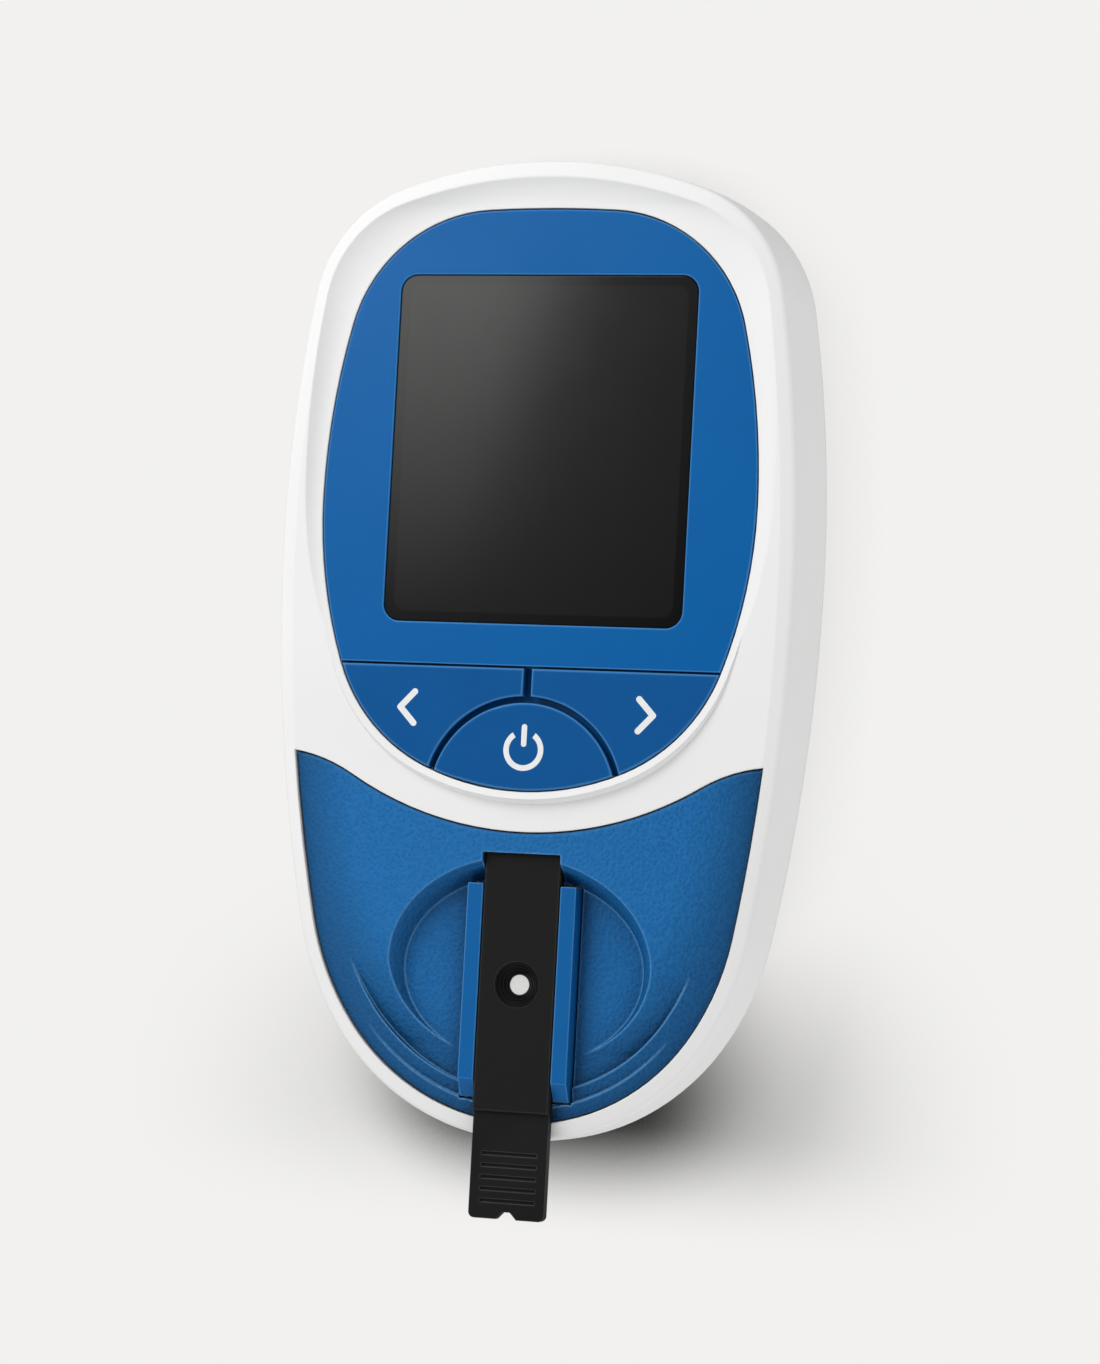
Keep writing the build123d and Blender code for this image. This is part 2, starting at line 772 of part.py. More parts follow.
def lower_cover():
    edge = cover_inset + cover_gap
    shape = prism(outline(body_outline, -edge), cover_deck_height, crest_height + past)
    cover = shape & cover_region(-cover_gap) & below_front()
    face = widest_upper_face(cover)
    rim = edges_over(outline(body_outline, -edge), face)
    cover = chamfer(rim, cover_slope_width, cover_slope_drop, reference=face)
    face = widest_upper_face(cover)
    shoulder = edges_over(outline(body_outline, -edge - cover_slope_width), face)
    cover = fillet(shoulder, cover_slope_round)
    cover = fillet(upper_border(cover), cover_edge_round)
    hollow = prism(outline(body_outline, -edge - cover_wall), cover_deck_height, crest_height)
    hollow = hollow & cover_region(-cover_gap - cover_wall) & below_front(cover_wall)
    wall = dish_floor_thickness
    keep = Ellipse(dish_half_width + wall, dish_half_length + wall)
    hollow -= extrude(Pos(0, dish_y, cover_deck_height) * keep, crest_height)
    hollow -= box(-guide_opening - wall, guide_opening + wall, -reach, reach, 0, reach)
    hollow -= box(-reach, reach, -reach, dish_y, 0, reach)
    cover -= hollow
    cover -= dish()
    for inset, start, slope in (
            (scoop_inset, scoop_start_below_window, scoop_slope),
            (step_inset, step_start_below_window, step_slope)):
        ledge = prism(outline(body_outline, -edge - inset), dish_floor, crest_height)
        ledge &= box(-reach, reach, -reach, window_y - start, 0, reach)
        cover -= ledge - below_slope(start, slope)
    cover -= box(-guide_opening, guide_opening, guide_end_y - guide_gap, guide_start_y + guide_gap,
                 0, reach)
    return cover - strip_tunnel()


def strip_guide():
    guide = box(-rail_outer, rail_outer, guide_end_y, guide_start_y, cover_deck_height,
                strip_top_height)
    channel = box(-channel_half, channel_half, -reach, reach, guide_floor, reach)
    run = rail_chamfer_run
    ramp_low = strip_top_height - rail_chamfer_drop
    ramp = side_slab([(guide_end_y, ramp_low), (guide_end_y + run, strip_top_height),
                      (guide_end_y, strip_top_height)])
    guide = guide - channel - ramp
    hole = optics_window_radius + optics_window_clearance
    guide -= rod(0, well_y, hole, optics_window_bottom, reach)
    guide -= rod(0, well_y, window_bore_radius, 0, reach)
    return guide - rod(0, well_y, nose_radius + nose_clearance, 0, nose_top + nose_gap)


def optics_window():
    return rod(0, well_y, optics_window_radius, optics_window_bottom, guide_floor)


def optics_block():
    half_x, half_y = optics_block_width / 2, optics_block_length / 2
    block = box(-half_x, half_x, well_y - half_y, well_y + half_y, optics_board_top, deck_bottom)
    block += rod(0, well_y, nose_radius, deck_bottom - sunk, nose_top)
    block -= rod(0, well_y, light_cone_radius, 0, reach)
    half = diode_side / 2 + component_clearance
    top = optics_board_top + diode_height + component_clearance
    block -= box(-half, half, well_y - half, well_y + half, 0, top)
    top = optics_board_top + led_height + component_clearance
    for x in (-led_offset, led_offset):
        block -= rod(x, well_y, led_radius + component_clearance, 0, top)
    return block


def optics_leds():
    return Compound(children=[
        rod(x, well_y, led_radius, optics_board_top, optics_board_top + led_height)
        for x in (-led_offset, led_offset)])


def photodiode():
    half = diode_side / 2
    return box(-half, half, well_y - half, well_y + half, optics_board_top,
               optics_board_top + diode_height)


def optics_board():
    board = plate(optics_board_width, optics_board_length, optics_board_corner, well_y,
                  optics_board_bottom, optics_board_top)
    board &= tub(shell_wall + lip_thickness + board_clearance)
    for x, y in optics_places:
        board -= rod(x, y, board_screw_radius + screw_pass, 0, reach)
    return board


def main_board():
    board = prism(outline(panel_outline, main_board_grow), main_board_height, main_board_top)
    for x, y in both_sides(inside_panel(upper_boss)):
        board -= rod(x, y, boss_radius + boss_pass, 0, reach)
    for x, y in bowl_places:
        board -= rod(x, y, board_screw_radius + screw_pass, 0, reach)
    return board


def lcd_frame():
    wall = 2 * lcd_frame_wall
    frame = plate(lcd_frame_width, lcd_frame_length, lcd_frame_corner, window_y, main_board_top,
                  lcd_top + lcd_frame_lip)
    frame -= plate(lcd_frame_width - wall, lcd_frame_length - wall, lcd_glass_corner, window_y, 0,
                   lcd_top)
    return frame - plate(window_width - 2 * lens_ledge, window_length - 2 * lens_ledge,
                         lcd_frame_corner, window_y, 0, reach)


def lcd_glass():
    return plate(lcd_width, lcd_length, lcd_glass_corner, window_y, lcd_bottom, lcd_top)


def lcd_backlight():
    sheet = plate(lcd_width, lcd_length, lcd_glass_corner, window_y,
                  lcd_bottom - backlight_thickness, lcd_bottom)
    half = lcd_length / 2 - connector_inset - connector_thickness - lcd_clearance
    return sheet & box(-reach, reach, window_y - half, window_y + half, 0, reach)


def lcd_connectors():
    half_x = connector_width / 2
    outer = lcd_length / 2 - connector_inset
    group = []
    for side in (-1, 1):
        y0, y1 = sorted((window_y + side * outer, window_y + side * (outer - connector_thickness)))
        group.append(box(-half_x, half_x, y0, y1, main_board_top, lcd_bottom))
    return Compound(children=group)


def control_chip():
    x, y = inside_panel(chip_place)
    x, y = -x, y + window_y
    half = chip_side / 2
    return box(x - half, x + half, y - half, y + half, main_board_height - chip_height,
               main_board_height)


def buzzer():
    x, y = inside_panel(buzzer_place)
    y += window_y
    return rod(x, y, buzzer_radius, main_board_height - buzzer_height, main_board_height)


def strip_profile(thickness, length, z):
    half = strip_width / 2
    return box(-half, half, strip_inner_y - length, strip_inner_y, z, z + thickness)


def strip_base():
    length = strip_inner_y - tip_y
    base = strip_profile(strip_base_thickness, length, strip_bottom_height)
    corners = base.edges().filter_by(Axis.Z).group_by(Axis.Y)[0]
    base = fillet(corners, strip_corner)
    top = strip_bottom_height + strip_base_thickness
    for i in range(grip_count):
        y = tip_y + grip_first_from_tip + i * grip_pitch
        base -= box(-grip_length / 2, grip_length / 2, y - grip_width / 2, y + grip_width / 2,
                    top - grip_depth, top)
    notch = Polyline((-notch_outer / 2, tip_y), (-notch_inner / 2, tip_y + notch_depth),
                     (notch_inner / 2, tip_y + notch_depth), (notch_outer / 2, tip_y), close=True)
    base -= prism(Wire(notch), 0, reach)
    base -= rod(0, well_y, pad_radius + pad_clearance, pad_bottom, reach)
    return base - rod(0, well_y, strip_bore_radius, 0, reach)


def well_cone():
    """Funnel from the strip's surface to the top of the pad."""
    low = Pos(0, well_y, pad_top) * Circle(well_floor_radius)
    high = Pos(0, well_y, strip_top_height) * Circle(well_mouth_radius)
    return loft([low.face(), high.face()], ruled=True)


def strip_top():
    top = strip_profile(strip_top_thickness, strip_top_length,
                        strip_bottom_height + strip_base_thickness)
    top = chamfer(top.faces().sort_by(Axis.Z)[-1].edges(), strip_edge_bevel)
    top += rod(0, well_y, pad_radius, pad_top, strip_top_height - strip_edge_bevel)
    return top - well_cone()


def reagent_pad():
    return rod(0, well_y, pad_radius, pad_bottom, pad_top)


def battery_cells():
    """Two cells side by side, with their nubs at opposite ends."""
    group = []
    for side in (-1, 1):
        turn = Rot(-90 * side, 0, 0)
        low = -(cell_length + cell_nub_length) / 2
        cell = rod(0, 0, cell_radius, low, low + cell_length)
        cell += rod(0, 0, cell_nub_radius, low + cell_length, low + cell_length + cell_nub_length)
        group.append(Pos(side * cell_spacing / 2, cell_y, cell_z) * turn * cell)
    return Compound(children=group)


def battery_contacts():
    """Plate on each end wall of the bay with a cone that presses on the cell's end."""
    group = []
    tip = bay_half_length - contact_room
    cone_top = bay_half_length - contact_thickness / 2
    for x in (-cell_spacing / 2, cell_spacing / 2):
        for turn in (-90, 90):
            leaf = Pos(0, 0, bay_half_length - contact_thickness / 2) * Box(
                contact_width, contact_height, contact_thickness)
            spring = Pos(0, 0, (tip + cone_top) / 2) * Cone(
                contact_tip_radius, contact_foot_radius, cone_top - tip)
            group.append(Pos(x, cell_y, cell_z) * Rot(turn, 0, 0) * (leaf + spring))
    return Compound(children=group)


def battery_door():
    half_x = bay_half_width + door_ledge - door_gap
    near_y = cell_y - bay_half_length - door_ledge + door_gap
    door = box(-half_x, half_x, near_y, hinge_y, foot_height, door_top)
    for middle in (-tongue_x, tongue_x):
        half = tongue_width / 2
        low = foot_height + tongue_lift
        door += box(middle - half, middle + half, hinge_y - tongue_lap, hinge_y + tongue_length,
                    low, low + tongue_thickness)
    hollow_y = near_y + grip_hollow_radius + grip_hollow_edge
    hollow = rod(0, hollow_y, grip_hollow_radius, 0, foot_height + grip_hollow_depth)
    half_x, half_y = door_rib_length / 2, door_rib_width / 2
    for i in range(door_rib_count):
        y = hollow_y + (i - (door_rib_count - 1) / 2) * door_rib_pitch
        hollow -= box(-half_x, half_x, y - half_y, y + half_y, foot_height, reach)
    return door - hollow


def screw(x, y, seat, head_radius, head_height, radius, length):
    """Cross-slot screw whose head bears up against a seat."""
    low = seat - head_height
    body = rod(x, y, head_radius, low, seat) + rod(x, y, radius, seat, seat + length)
    narrow, long = screw_slot / 2, head_radius * screw_slot_share
    slot_top = low + head_height / 2
    cross = box(x - narrow, x + narrow, y - long, y + long, low, slot_top)
    cross += box(x - long, x + long, y - narrow, y + narrow, low, slot_top)
    return body - cross


def housing_screws():
    return Compound(children=[
        screw(x, y, screw_seat, screw_head_radius, screw_head_height, screw_radius, screw_length)
        for x, y in housing_places])


def board_screws():
    places = [(x, y, main_board_height) for x, y in bowl_places]
    places += [(x, y, optics_board_bottom) for x, y in optics_places]
    return Compound(children=[
        screw(x, y, seat, board_screw_head_radius, board_screw_head_height, board_screw_radius,
              board_screw_length)
        for x, y, seat in places])


def rubber_feet():
    group = []
    for x, y in feet:
        foot = rod(x, y, foot_radius, 0, foot_height + foot_sink)
        group.append(chamfer(foot.faces().sort_by(Axis.Z)[0].edges(), foot_edge))
    return Compound(children=group)


def ribbon():
    """Flat cable from the optics board's edge up to the underside of the main board."""
    y_low = well_y + (optics_board_length - ribbon_lap) / 2
    y_up = window_y - panel_widest_below_window - panel_fall - main_board_grow + ribbon_bend
    low = optics_board_top + ribbon_thickness / 2
    high = main_board_height - ribbon_thickness / 2
    path = FilletPolyline((0, y_low, low), (0, y_up, low), (0, y_up, high),
                          (0, y_up + ribbon_lap, high), radius=ribbon_bend)
    start = Plane(origin=path @ 0, x_dir=(1, 0, 0), z_dir=path % 0)
    profile = start * Rectangle(ribbon_width, ribbon_thickness)
    return sweep(profile, path=path)


nodes = {
    "front_shell": front_shell(),
    "rear_shell": rear_shell(),
    "display_panel": display_panel(),
    "display_window": display_window(),
    "lcd_glass": lcd_glass(),
    "lcd_frame": lcd_frame(),
    "lcd_backlight": lcd_backlight(),
    "lcd_connectors": lcd_connectors(),
    "main_board": main_board(),
    "control_chip": control_chip(),
    "buzzer": buzzer(),
    "key_left": side_key(-1),
    "key_right": side_key(1),
    "key_power": power_key(),
    "plunger_left": plunger(-side_stem_x, side_stem_y),
    "plunger_right": plunger(side_stem_x, side_stem_y),
    "plunger_power": plunger(0, power_stem_y),
    "key_switches": key_switches(),
    "lower_cover": lower_cover(),
    "strip_guide": strip_guide(),
    "optics_window": optics_window(),
    "optics_block": optics_block(),
    "optics_board": optics_board(),
    "optics_leds": optics_leds(),
    "photodiode": photodiode(),
    "strip_base": strip_base(),
    "strip_top": strip_top(),
    "reagent_pad": reagent_pad(),
    "battery_cells": battery_cells(),
    "battery_contacts": battery_contacts(),
    "battery_door": battery_door(),
    "housing_screws": housing_screws(),
    "board_screws": board_screws(),
    "rubber_feet": rubber_feet(),
    "flex_cable": ribbon(),
}

for name, shape in nodes.items():
    export_step(shape, f"parts/{name}.step")
    print(name, round(shape.volume, 1))
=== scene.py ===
from math import pi, radians

import bpy
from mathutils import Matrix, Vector


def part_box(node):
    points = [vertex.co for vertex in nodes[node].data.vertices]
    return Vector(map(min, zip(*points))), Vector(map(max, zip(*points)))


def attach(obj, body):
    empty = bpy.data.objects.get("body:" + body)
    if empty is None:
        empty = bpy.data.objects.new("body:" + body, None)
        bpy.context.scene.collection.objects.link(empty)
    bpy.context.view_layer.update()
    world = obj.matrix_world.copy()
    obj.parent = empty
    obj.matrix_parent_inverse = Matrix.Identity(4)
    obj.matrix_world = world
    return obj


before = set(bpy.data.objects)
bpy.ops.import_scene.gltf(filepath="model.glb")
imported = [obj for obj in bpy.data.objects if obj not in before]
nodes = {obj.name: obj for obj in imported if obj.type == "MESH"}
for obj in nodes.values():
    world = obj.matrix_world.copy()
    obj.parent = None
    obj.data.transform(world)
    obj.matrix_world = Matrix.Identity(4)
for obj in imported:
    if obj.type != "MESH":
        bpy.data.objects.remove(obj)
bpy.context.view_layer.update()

mm = 0.001
black = (0.0, 0.0, 0.0)
white = (1.0, 1.0, 1.0)


def letGo():
    bpy.ops.object.select_all(action="DESELECT")


def putNode(tree, kind, settings=None, inputs=None):
    # a socket given as an input is linked, and anything else is set on the node
    made = tree.nodes.new("ShaderNode" + kind)
    for key, value in (settings or {}).items():
        setattr(made, key, value)
    for socket, value in (inputs or {}).items():
        if isinstance(value, bpy.types.NodeSocket):
            tree.links.new(value, made.inputs[socket])
        else:
            made.inputs[socket].default_value = value
    return made


def sums(tree, operation, a, b=0.0, c=0.0):
    return putNode(tree, "Math", {"operation": operation}, {0: a, 1: b, 2: c}).outputs[0]


def product(tree, first, *others):
    for other in others:
        first = sums(tree, "MULTIPLY", first, other)
    return first


def average(tree, a, b):
    return sums(tree, "MULTIPLY_ADD", a, 0.5, sums(tree, "MULTIPLY", b, 0.5))


def vectors(tree, operation, *inputs, result="Vector"):
    return putNode(tree, "VectorMath", {"operation": operation}, dict(enumerate(inputs))).outputs[result]


def remap(tree, value, low, high, toLow=0.0, toHigh=1.0, smooth=False):
    kind = "SMOOTHSTEP" if smooth else "LINEAR"
    made = putNode(tree, "MapRange", {"interpolation_type": kind, "clamp": True},
                   {0: value, 1: low, 2: high, 3: toLow, 4: toHigh})
    return made.outputs[0]


def blendColours(tree, factor, first, second, way="MIX"):
    made = putNode(tree, "Mix", {"data_type": "RGBA", "blend_type": way}, {0: factor})
    for socket, value in ((6, first), (7, second)):
        if isinstance(value, bpy.types.NodeSocket):
            tree.links.new(value, made.inputs[socket])
        else:
            made.inputs[socket].default_value = (*value, 1.0)
    return made.outputs[2]


def dimmer(colour, share):
    return tuple(share * c for c in colour)


def noise(tree, spot, scale, detail=2.0):
    return putNode(tree, "TexNoise", None,
                   {"Vector": spot, "Scale": scale, "Detail": detail}).outputs[0]


def openness(tree, reach, rays=6):
    # 1 where nothing stands near, less in a corner
    return putNode(tree, "AmbientOcclusion", {"samples": rays}, {"Distance": reach}).outputs["AO"]


# the camera looks down from the right of the rounded end, onto the meter on its pale sheet
cameraSet = {
    "place": (0.1586, -0.0325, 0.5220),
    "turn": (4.554, 17.090, 3.220),
    "lens": 105.57,
    "sensor": 36.0,
    "nearest": 0.01,
}


def placeCamera():
    bpy.ops.object.camera_add(location=cameraSet["place"],
                              rotation=[radians(a) for a in cameraSet["turn"]])
    camera = bpy.context.object
    camera.name = "tableCamera"
    camera.data.sensor_width = cameraSet["sensor"]
    camera.data.lens = cameraSet["lens"]
    camera.data.clip_start = cameraSet["nearest"]
    camera.data.dof.use_dof = False
    bpy.context.scene.camera = camera


lamps = {
    "keyLamp": {"place": (-0.264, 0.283, 0.390), "turn": (-36.0, -34.0, 0.0), "size": 0.32,
                "watt": 1.47, "gloss": False},
    "underLamp": {"place": (0.1, 0.2, -0.9), "turn": (180.0, 0.0, 0.0), "size": 0.9,
                  "watt": 0.9, "gloss": True},  # for the back, which the floor doesn't light
}


def placeLamp(name, lampSet):
    bpy.ops.object.light_add(type="AREA", location=lampSet["place"],
                             rotation=[radians(a) for a in lampSet["turn"]])
    lamp = bpy.context.object
    lamp.name = name
    lamp.data.shape = "SQUARE"
    lamp.data.size = lampSet["size"]
    lamp.data.energy = lampSet["watt"]
    lamp.visible_glossy = lampSet["gloss"]


backdrop = (0.888, 0.880, 0.865)

floorSet = {
    "size": 6.0,
    "paint": (0.855, 0.85, 0.836),
    "fibre": 900.0, "fibreDetail": 3.0, "fibreShade": 0.985,
    "shadeAlong": (-0.024, -0.058), "shadeElsewhere": 0.05,  # the shade grows towards the rounded end
    "shadeMiddle": (0.0, -0.055, 0.0), "shadeReach": (0.028, 0.068),
    "shadeEnd": (-0.074, -0.057),
    "seam": 0.009, "seamAcross": (0.010, 0.028), "seamShare": (1.3, 0.28),  # left and right
    "touch": 0.015, "touchPower": 4.2, "touchReach": (0.012, 0.036),
    "crowding": 0.09, "crowdingPower": 0.5, "crowdingRays": 8,
}


def shadedShare(tree, axes, fromHeel):
    # the shade lies by the rounded end, and a narrow seam of it runs round the housing
    alongHeel = remap(tree, axes.outputs[1], *floorSet["shadeAlong"], floorSet["shadeElsewhere"], 1.0,
                      True)
    nearby = remap(tree, fromHeel, *floorSet["shadeReach"], 1.0, 0.0, True)
    beyond = remap(tree, axes.outputs[1], *floorSet["shadeEnd"], 0.0, 1.0, True)
    share = product(tree, alongHeel, nearby, beyond)
    side = remap(tree, axes.outputs[0], *floorSet["seamAcross"], *floorSet["seamShare"], True)
    seam = product(tree, sums(tree, "SUBTRACT", 1.0, openness(tree, floorSet["seam"])), side)
    return sums(tree, "MINIMUM", sums(tree, "MAXIMUM", share, seam), 1.0)


def floorFinish():
    # the sheet shows its shade near the meter and runs into the backdrop's tone further out
    mat = bpy.data.materials.new("paperFloor")
    mat.use_nodes = True
    tree = mat.node_tree
    tree.nodes.clear()
    spot = putNode(tree, "TexCoord").outputs["Object"]
    axes = putNode(tree, "SeparateXYZ", None, {0: spot})
    fromHeel = vectors(tree, "DISTANCE", spot, floorSet["shadeMiddle"], result="Value")
    share = shadedShare(tree, axes, fromHeel)
    # painted shadow: close to where the rounded end touches, the sheet is painted darker, and a little
    # darker wherever the meter stands near
    atHeel = remap(tree, fromHeel, *floorSet["touchReach"], 1.0, 0.0, True)
    lit = sums(tree, "POWER", openness(tree, floorSet["touch"]), floorSet["touchPower"])
    touch = product(tree, sums(tree, "SUBTRACT", 1.0, lit), atHeel)
    crowded = openness(tree, floorSet["crowding"], floorSet["crowdingRays"])
    paintedShadow = product(tree, sums(tree, "POWER", crowded, floorSet["crowdingPower"]),
                     sums(tree, "SUBTRACT", 1.0, touch))
    fibre = noise(tree, spot, floorSet["fibre"], floorSet["fibreDetail"])
    paint = blendColours(tree, fibre, floorSet["paint"],
                         dimmer(floorSet["paint"], floorSet["fibreShade"]))
    # painted shadow: the sheet's paint goes towards black where the meter stands close
    paint = blendColours(tree, paintedShadow, black, paint)
    shaded = putNode(tree, "BsdfDiffuse", None, {"Color": paint}).outputs[0]
    plain = putNode(tree, "Emission", None, {"Color": (*backdrop, 1.0)}).outputs[0]
    top = putNode(tree, "MixShader", None, {0: share, 1: plain, 2: shaded}).outputs[0]
    # from below the sheet is clear, so the back can be seen
    clear = putNode(tree, "BsdfTransparent").outputs[0]
    behind = putNode(tree, "NewGeometry").outputs["Backfacing"]
    both = putNode(tree, "MixShader", None, {0: behind, 1: top, 2: clear}).outputs[0]
    putNode(tree, "OutputMaterial", None, {"Surface": both})
    return mat


def layFloor():
    letGo()
    bpy.ops.mesh.primitive_plane_add(size=floorSet["size"], location=(0, 0, 0))
    floor = bpy.context.object
    floor.name = "paperSheet"
    floor.data.materials.append(floorFinish())
    floor.visible_diffuse = False
    floor.visible_glossy = False
    floor.visible_shadow = False


# a span is where a change begins and ends: by height, by slope across X or along Y, or by facing
roomSet = {
    "above": 0.61, "level": 0.75, "below": 0.38,  # the soft light, by height
    "upperSpan": (0.05, 0.85), "lowerSpan": (-0.65, -0.05),
    "front": 0.56, "frontWay": (0.45, -0.89, 0.0),  # more of it from low in front
    "frontSpan": (-0.1, 0.9), "frontHeight": (0.50, 0.10),
    "flattest": 0.05,
    "wall": 0.60, "wallTop": (0.45, 0.75),  # from here on, what gloss mirrors
    "ground": 0.35, "groundSpan": (-0.15, 0.15),
    "ceiling": (0.14, 0.50), "ceilingSpan": (0.07, 0.165),
    "rightShare": 0.25, "rightSpan": (-0.31, -0.26),
    "leftWall": 0.95, "leftSpan": (-0.32, -0.70),
    "pane": 2.7, "paneSpan": (0.083, 0.181),  # a bright window whose edge runs aslant
    "paneEdge": 0.36, "paneLean": 0.25, "paneSoft": 0.010,
    "farShare": 0.3, "farSpan": (0.5, 1.0), "sideShare": 0.3, "sideSpan": (-1.1, -0.6),
}


def mirroredRoom(tree, axes, height):
    # a dim ceiling, the window, pale walls and the ground
    steep = sums(tree, "MAXIMUM", height, roomSet["flattest"])
    across = sums(tree, "DIVIDE", axes.outputs[0], steep)
    along = sums(tree, "DIVIDE", axes.outputs[1], steep)
    ceiling = product(tree, remap(tree, along, *roomSet["ceilingSpan"], *roomSet["ceiling"]),
                      remap(tree, across, *roomSet["rightSpan"], 1.0, roomSet["rightShare"]))
    past = sums(tree, "MULTIPLY_ADD", along, -roomSet["paneLean"],
                sums(tree, "ADD", across, roomSet["paneEdge"]))
    pane = remap(tree, past, roomSet["paneSoft"], -roomSet["paneSoft"], 0.0, 1.0, True)
    glare = product(tree, remap(tree, along, *roomSet["paneSpan"], 0.0, roomSet["pane"]),
                    remap(tree, along, *roomSet["farSpan"], 1.0, roomSet["farShare"], True),
                    remap(tree, across, *roomSet["sideSpan"], roomSet["sideShare"], 1.0, True))
    overhead = sums(tree, "MULTIPLY_ADD", pane, glare, ceiling)
    leftWall = remap(tree, across, *roomSet["leftSpan"], 0.0, roomSet["leftWall"], True)
    overhead = sums(tree, "MAXIMUM", overhead, leftWall)
    aboveWall = remap(tree, height, *roomSet["wallTop"], 0.0, 1.0, True)
    mirrored = sums(tree, "MULTIPLY_ADD", sums(tree, "SUBTRACT", overhead, roomSet["wall"]),
                    aboveWall, roomSet["wall"])
    lowShare = roomSet["ground"] / roomSet["wall"]
    return product(tree, mirrored, remap(tree, height, *roomSet["groundSpan"], lowShare, 1.0, True))


def softLight(tree, lookUp, height):
    upper = remap(tree, height, *roomSet["upperSpan"], roomSet["level"], roomSet["above"])
    lower = remap(tree, height, *roomSet["lowerSpan"], roomSet["below"] - roomSet["level"], 0.0)
    facing = vectors(tree, "DOT_PRODUCT", lookUp, roomSet["frontWay"], result="Value")
    front = product(tree, remap(tree, facing, *roomSet["frontSpan"], 0.0, roomSet["front"], True),
                    remap(tree, height, *roomSet["frontHeight"], 0.0, 1.0, True))
    return sums(tree, "ADD", sums(tree, "ADD", upper, lower), front)


def lightRoom():
    world = bpy.data.worlds.new("paleRoom")
    bpy.context.scene.world = world
    world.use_nodes = True
    tree = world.node_tree
    tree.nodes.clear()
    rays = putNode(tree, "LightPath")
    seen = sums(tree, "MAXIMUM", rays.outputs["Is Camera Ray"], rays.outputs["Is Transmission Ray"])
    gloss = rays.outputs["Is Glossy Ray"]
    lookUp = putNode(tree, "TexCoord").outputs["Generated"]
    axes = putNode(tree, "SeparateXYZ", None, {0: lookUp})
    height = axes.outputs[2]
    strength = sums(tree, "MULTIPLY_ADD", gloss, mirroredRoom(tree, axes, height), seen)
    other = sums(tree, "SUBTRACT", 1.0, sums(tree, "MAXIMUM", seen, gloss))
    strength = sums(tree, "MULTIPLY_ADD", other, softLight(tree, lookUp, height), strength)
    colour = blendColours(tree, other, backdrop, white)
    room = putNode(tree, "Background", None, {"Color": colour, "Strength": strength})
    putNode(tree, "OutputWorld", None, {"Surface": room.outputs[0]})


bpy.context.scene.view_settings.view_transform = "Standard"
placeCamera()
layFloor()
lightRoom()
for lampName, lampSet in lamps.items():
    placeLamp(lampName, lampSet)
print("camera, floor and lamps are set")


def startFinish(name, rough=0.4, metal=0.0, specular=0.5):
    mat = bpy.data.materials.new(name)
    mat.use_nodes = True
    tree = mat.node_tree
    shader = tree.nodes["Principled BSDF"]
    shader.inputs["Roughness"].default_value = rough
    shader.inputs["Metallic"].default_value = metal
    shader.inputs["Specular IOR Level"].default_value = specular
    spot = putNode(tree, "TexCoord").outputs["Object"]
    return mat, tree, shader, spot


def stretched(tree, spot, scale):
    return putNode(tree, "Mapping", None, {"Vector": spot, "Scale": scale}).outputs[0]


edgeSet = {"rays": 6, "paintedHighlight": (0.998, 0.88)}


def softEdges(tree, radius):
    return putNode(tree, "Bevel", {"samples": edgeSet["rays"]}, {"Radius": radius}).outputs[0]


def edgeHighlightMask(tree, rounded):
    # a mask for the painted edge highlights: the edges are where the rounded normal leaves the face's own
    flat = putNode(tree, "NewGeometry").outputs["Normal"]
    same = vectors(tree, "DOT_PRODUCT", rounded, flat, result="Value")
    return remap(tree, same, *edgeSet["paintedHighlight"])


def raised(tree, shader, height, depth, rounded=None):
    inputs = {"Height": height, "Distance": depth, "Strength": 1.0}
    if rounded is not None:
        inputs["Normal"] = rounded
    bump = putNode(tree, "Bump", None, inputs).outputs[0]
    tree.links.new(bump, shader.inputs["Normal"])


def spanOf(box, insetX=0.0, insetY=0.0):
    # the middle of a box and its half sizes, less an inset, on the XY plane
    low, high = box
    centre = ((low.x + high.x) / 2, (low.y + high.y) / 2, 0.0)
    return centre, ((high.x - low.x) / 2 - insetX, (high.y - low.y) / 2 - insetY)


# moulded plastics: two near tones that drift, a fine grain, and painted highlights on the edges
mouldSet = {"detail": 3.0, "drift": (0.3, 0.7), "lipTop": (0.985, 0.90), "lipFoot": (0.25, 0.60)}

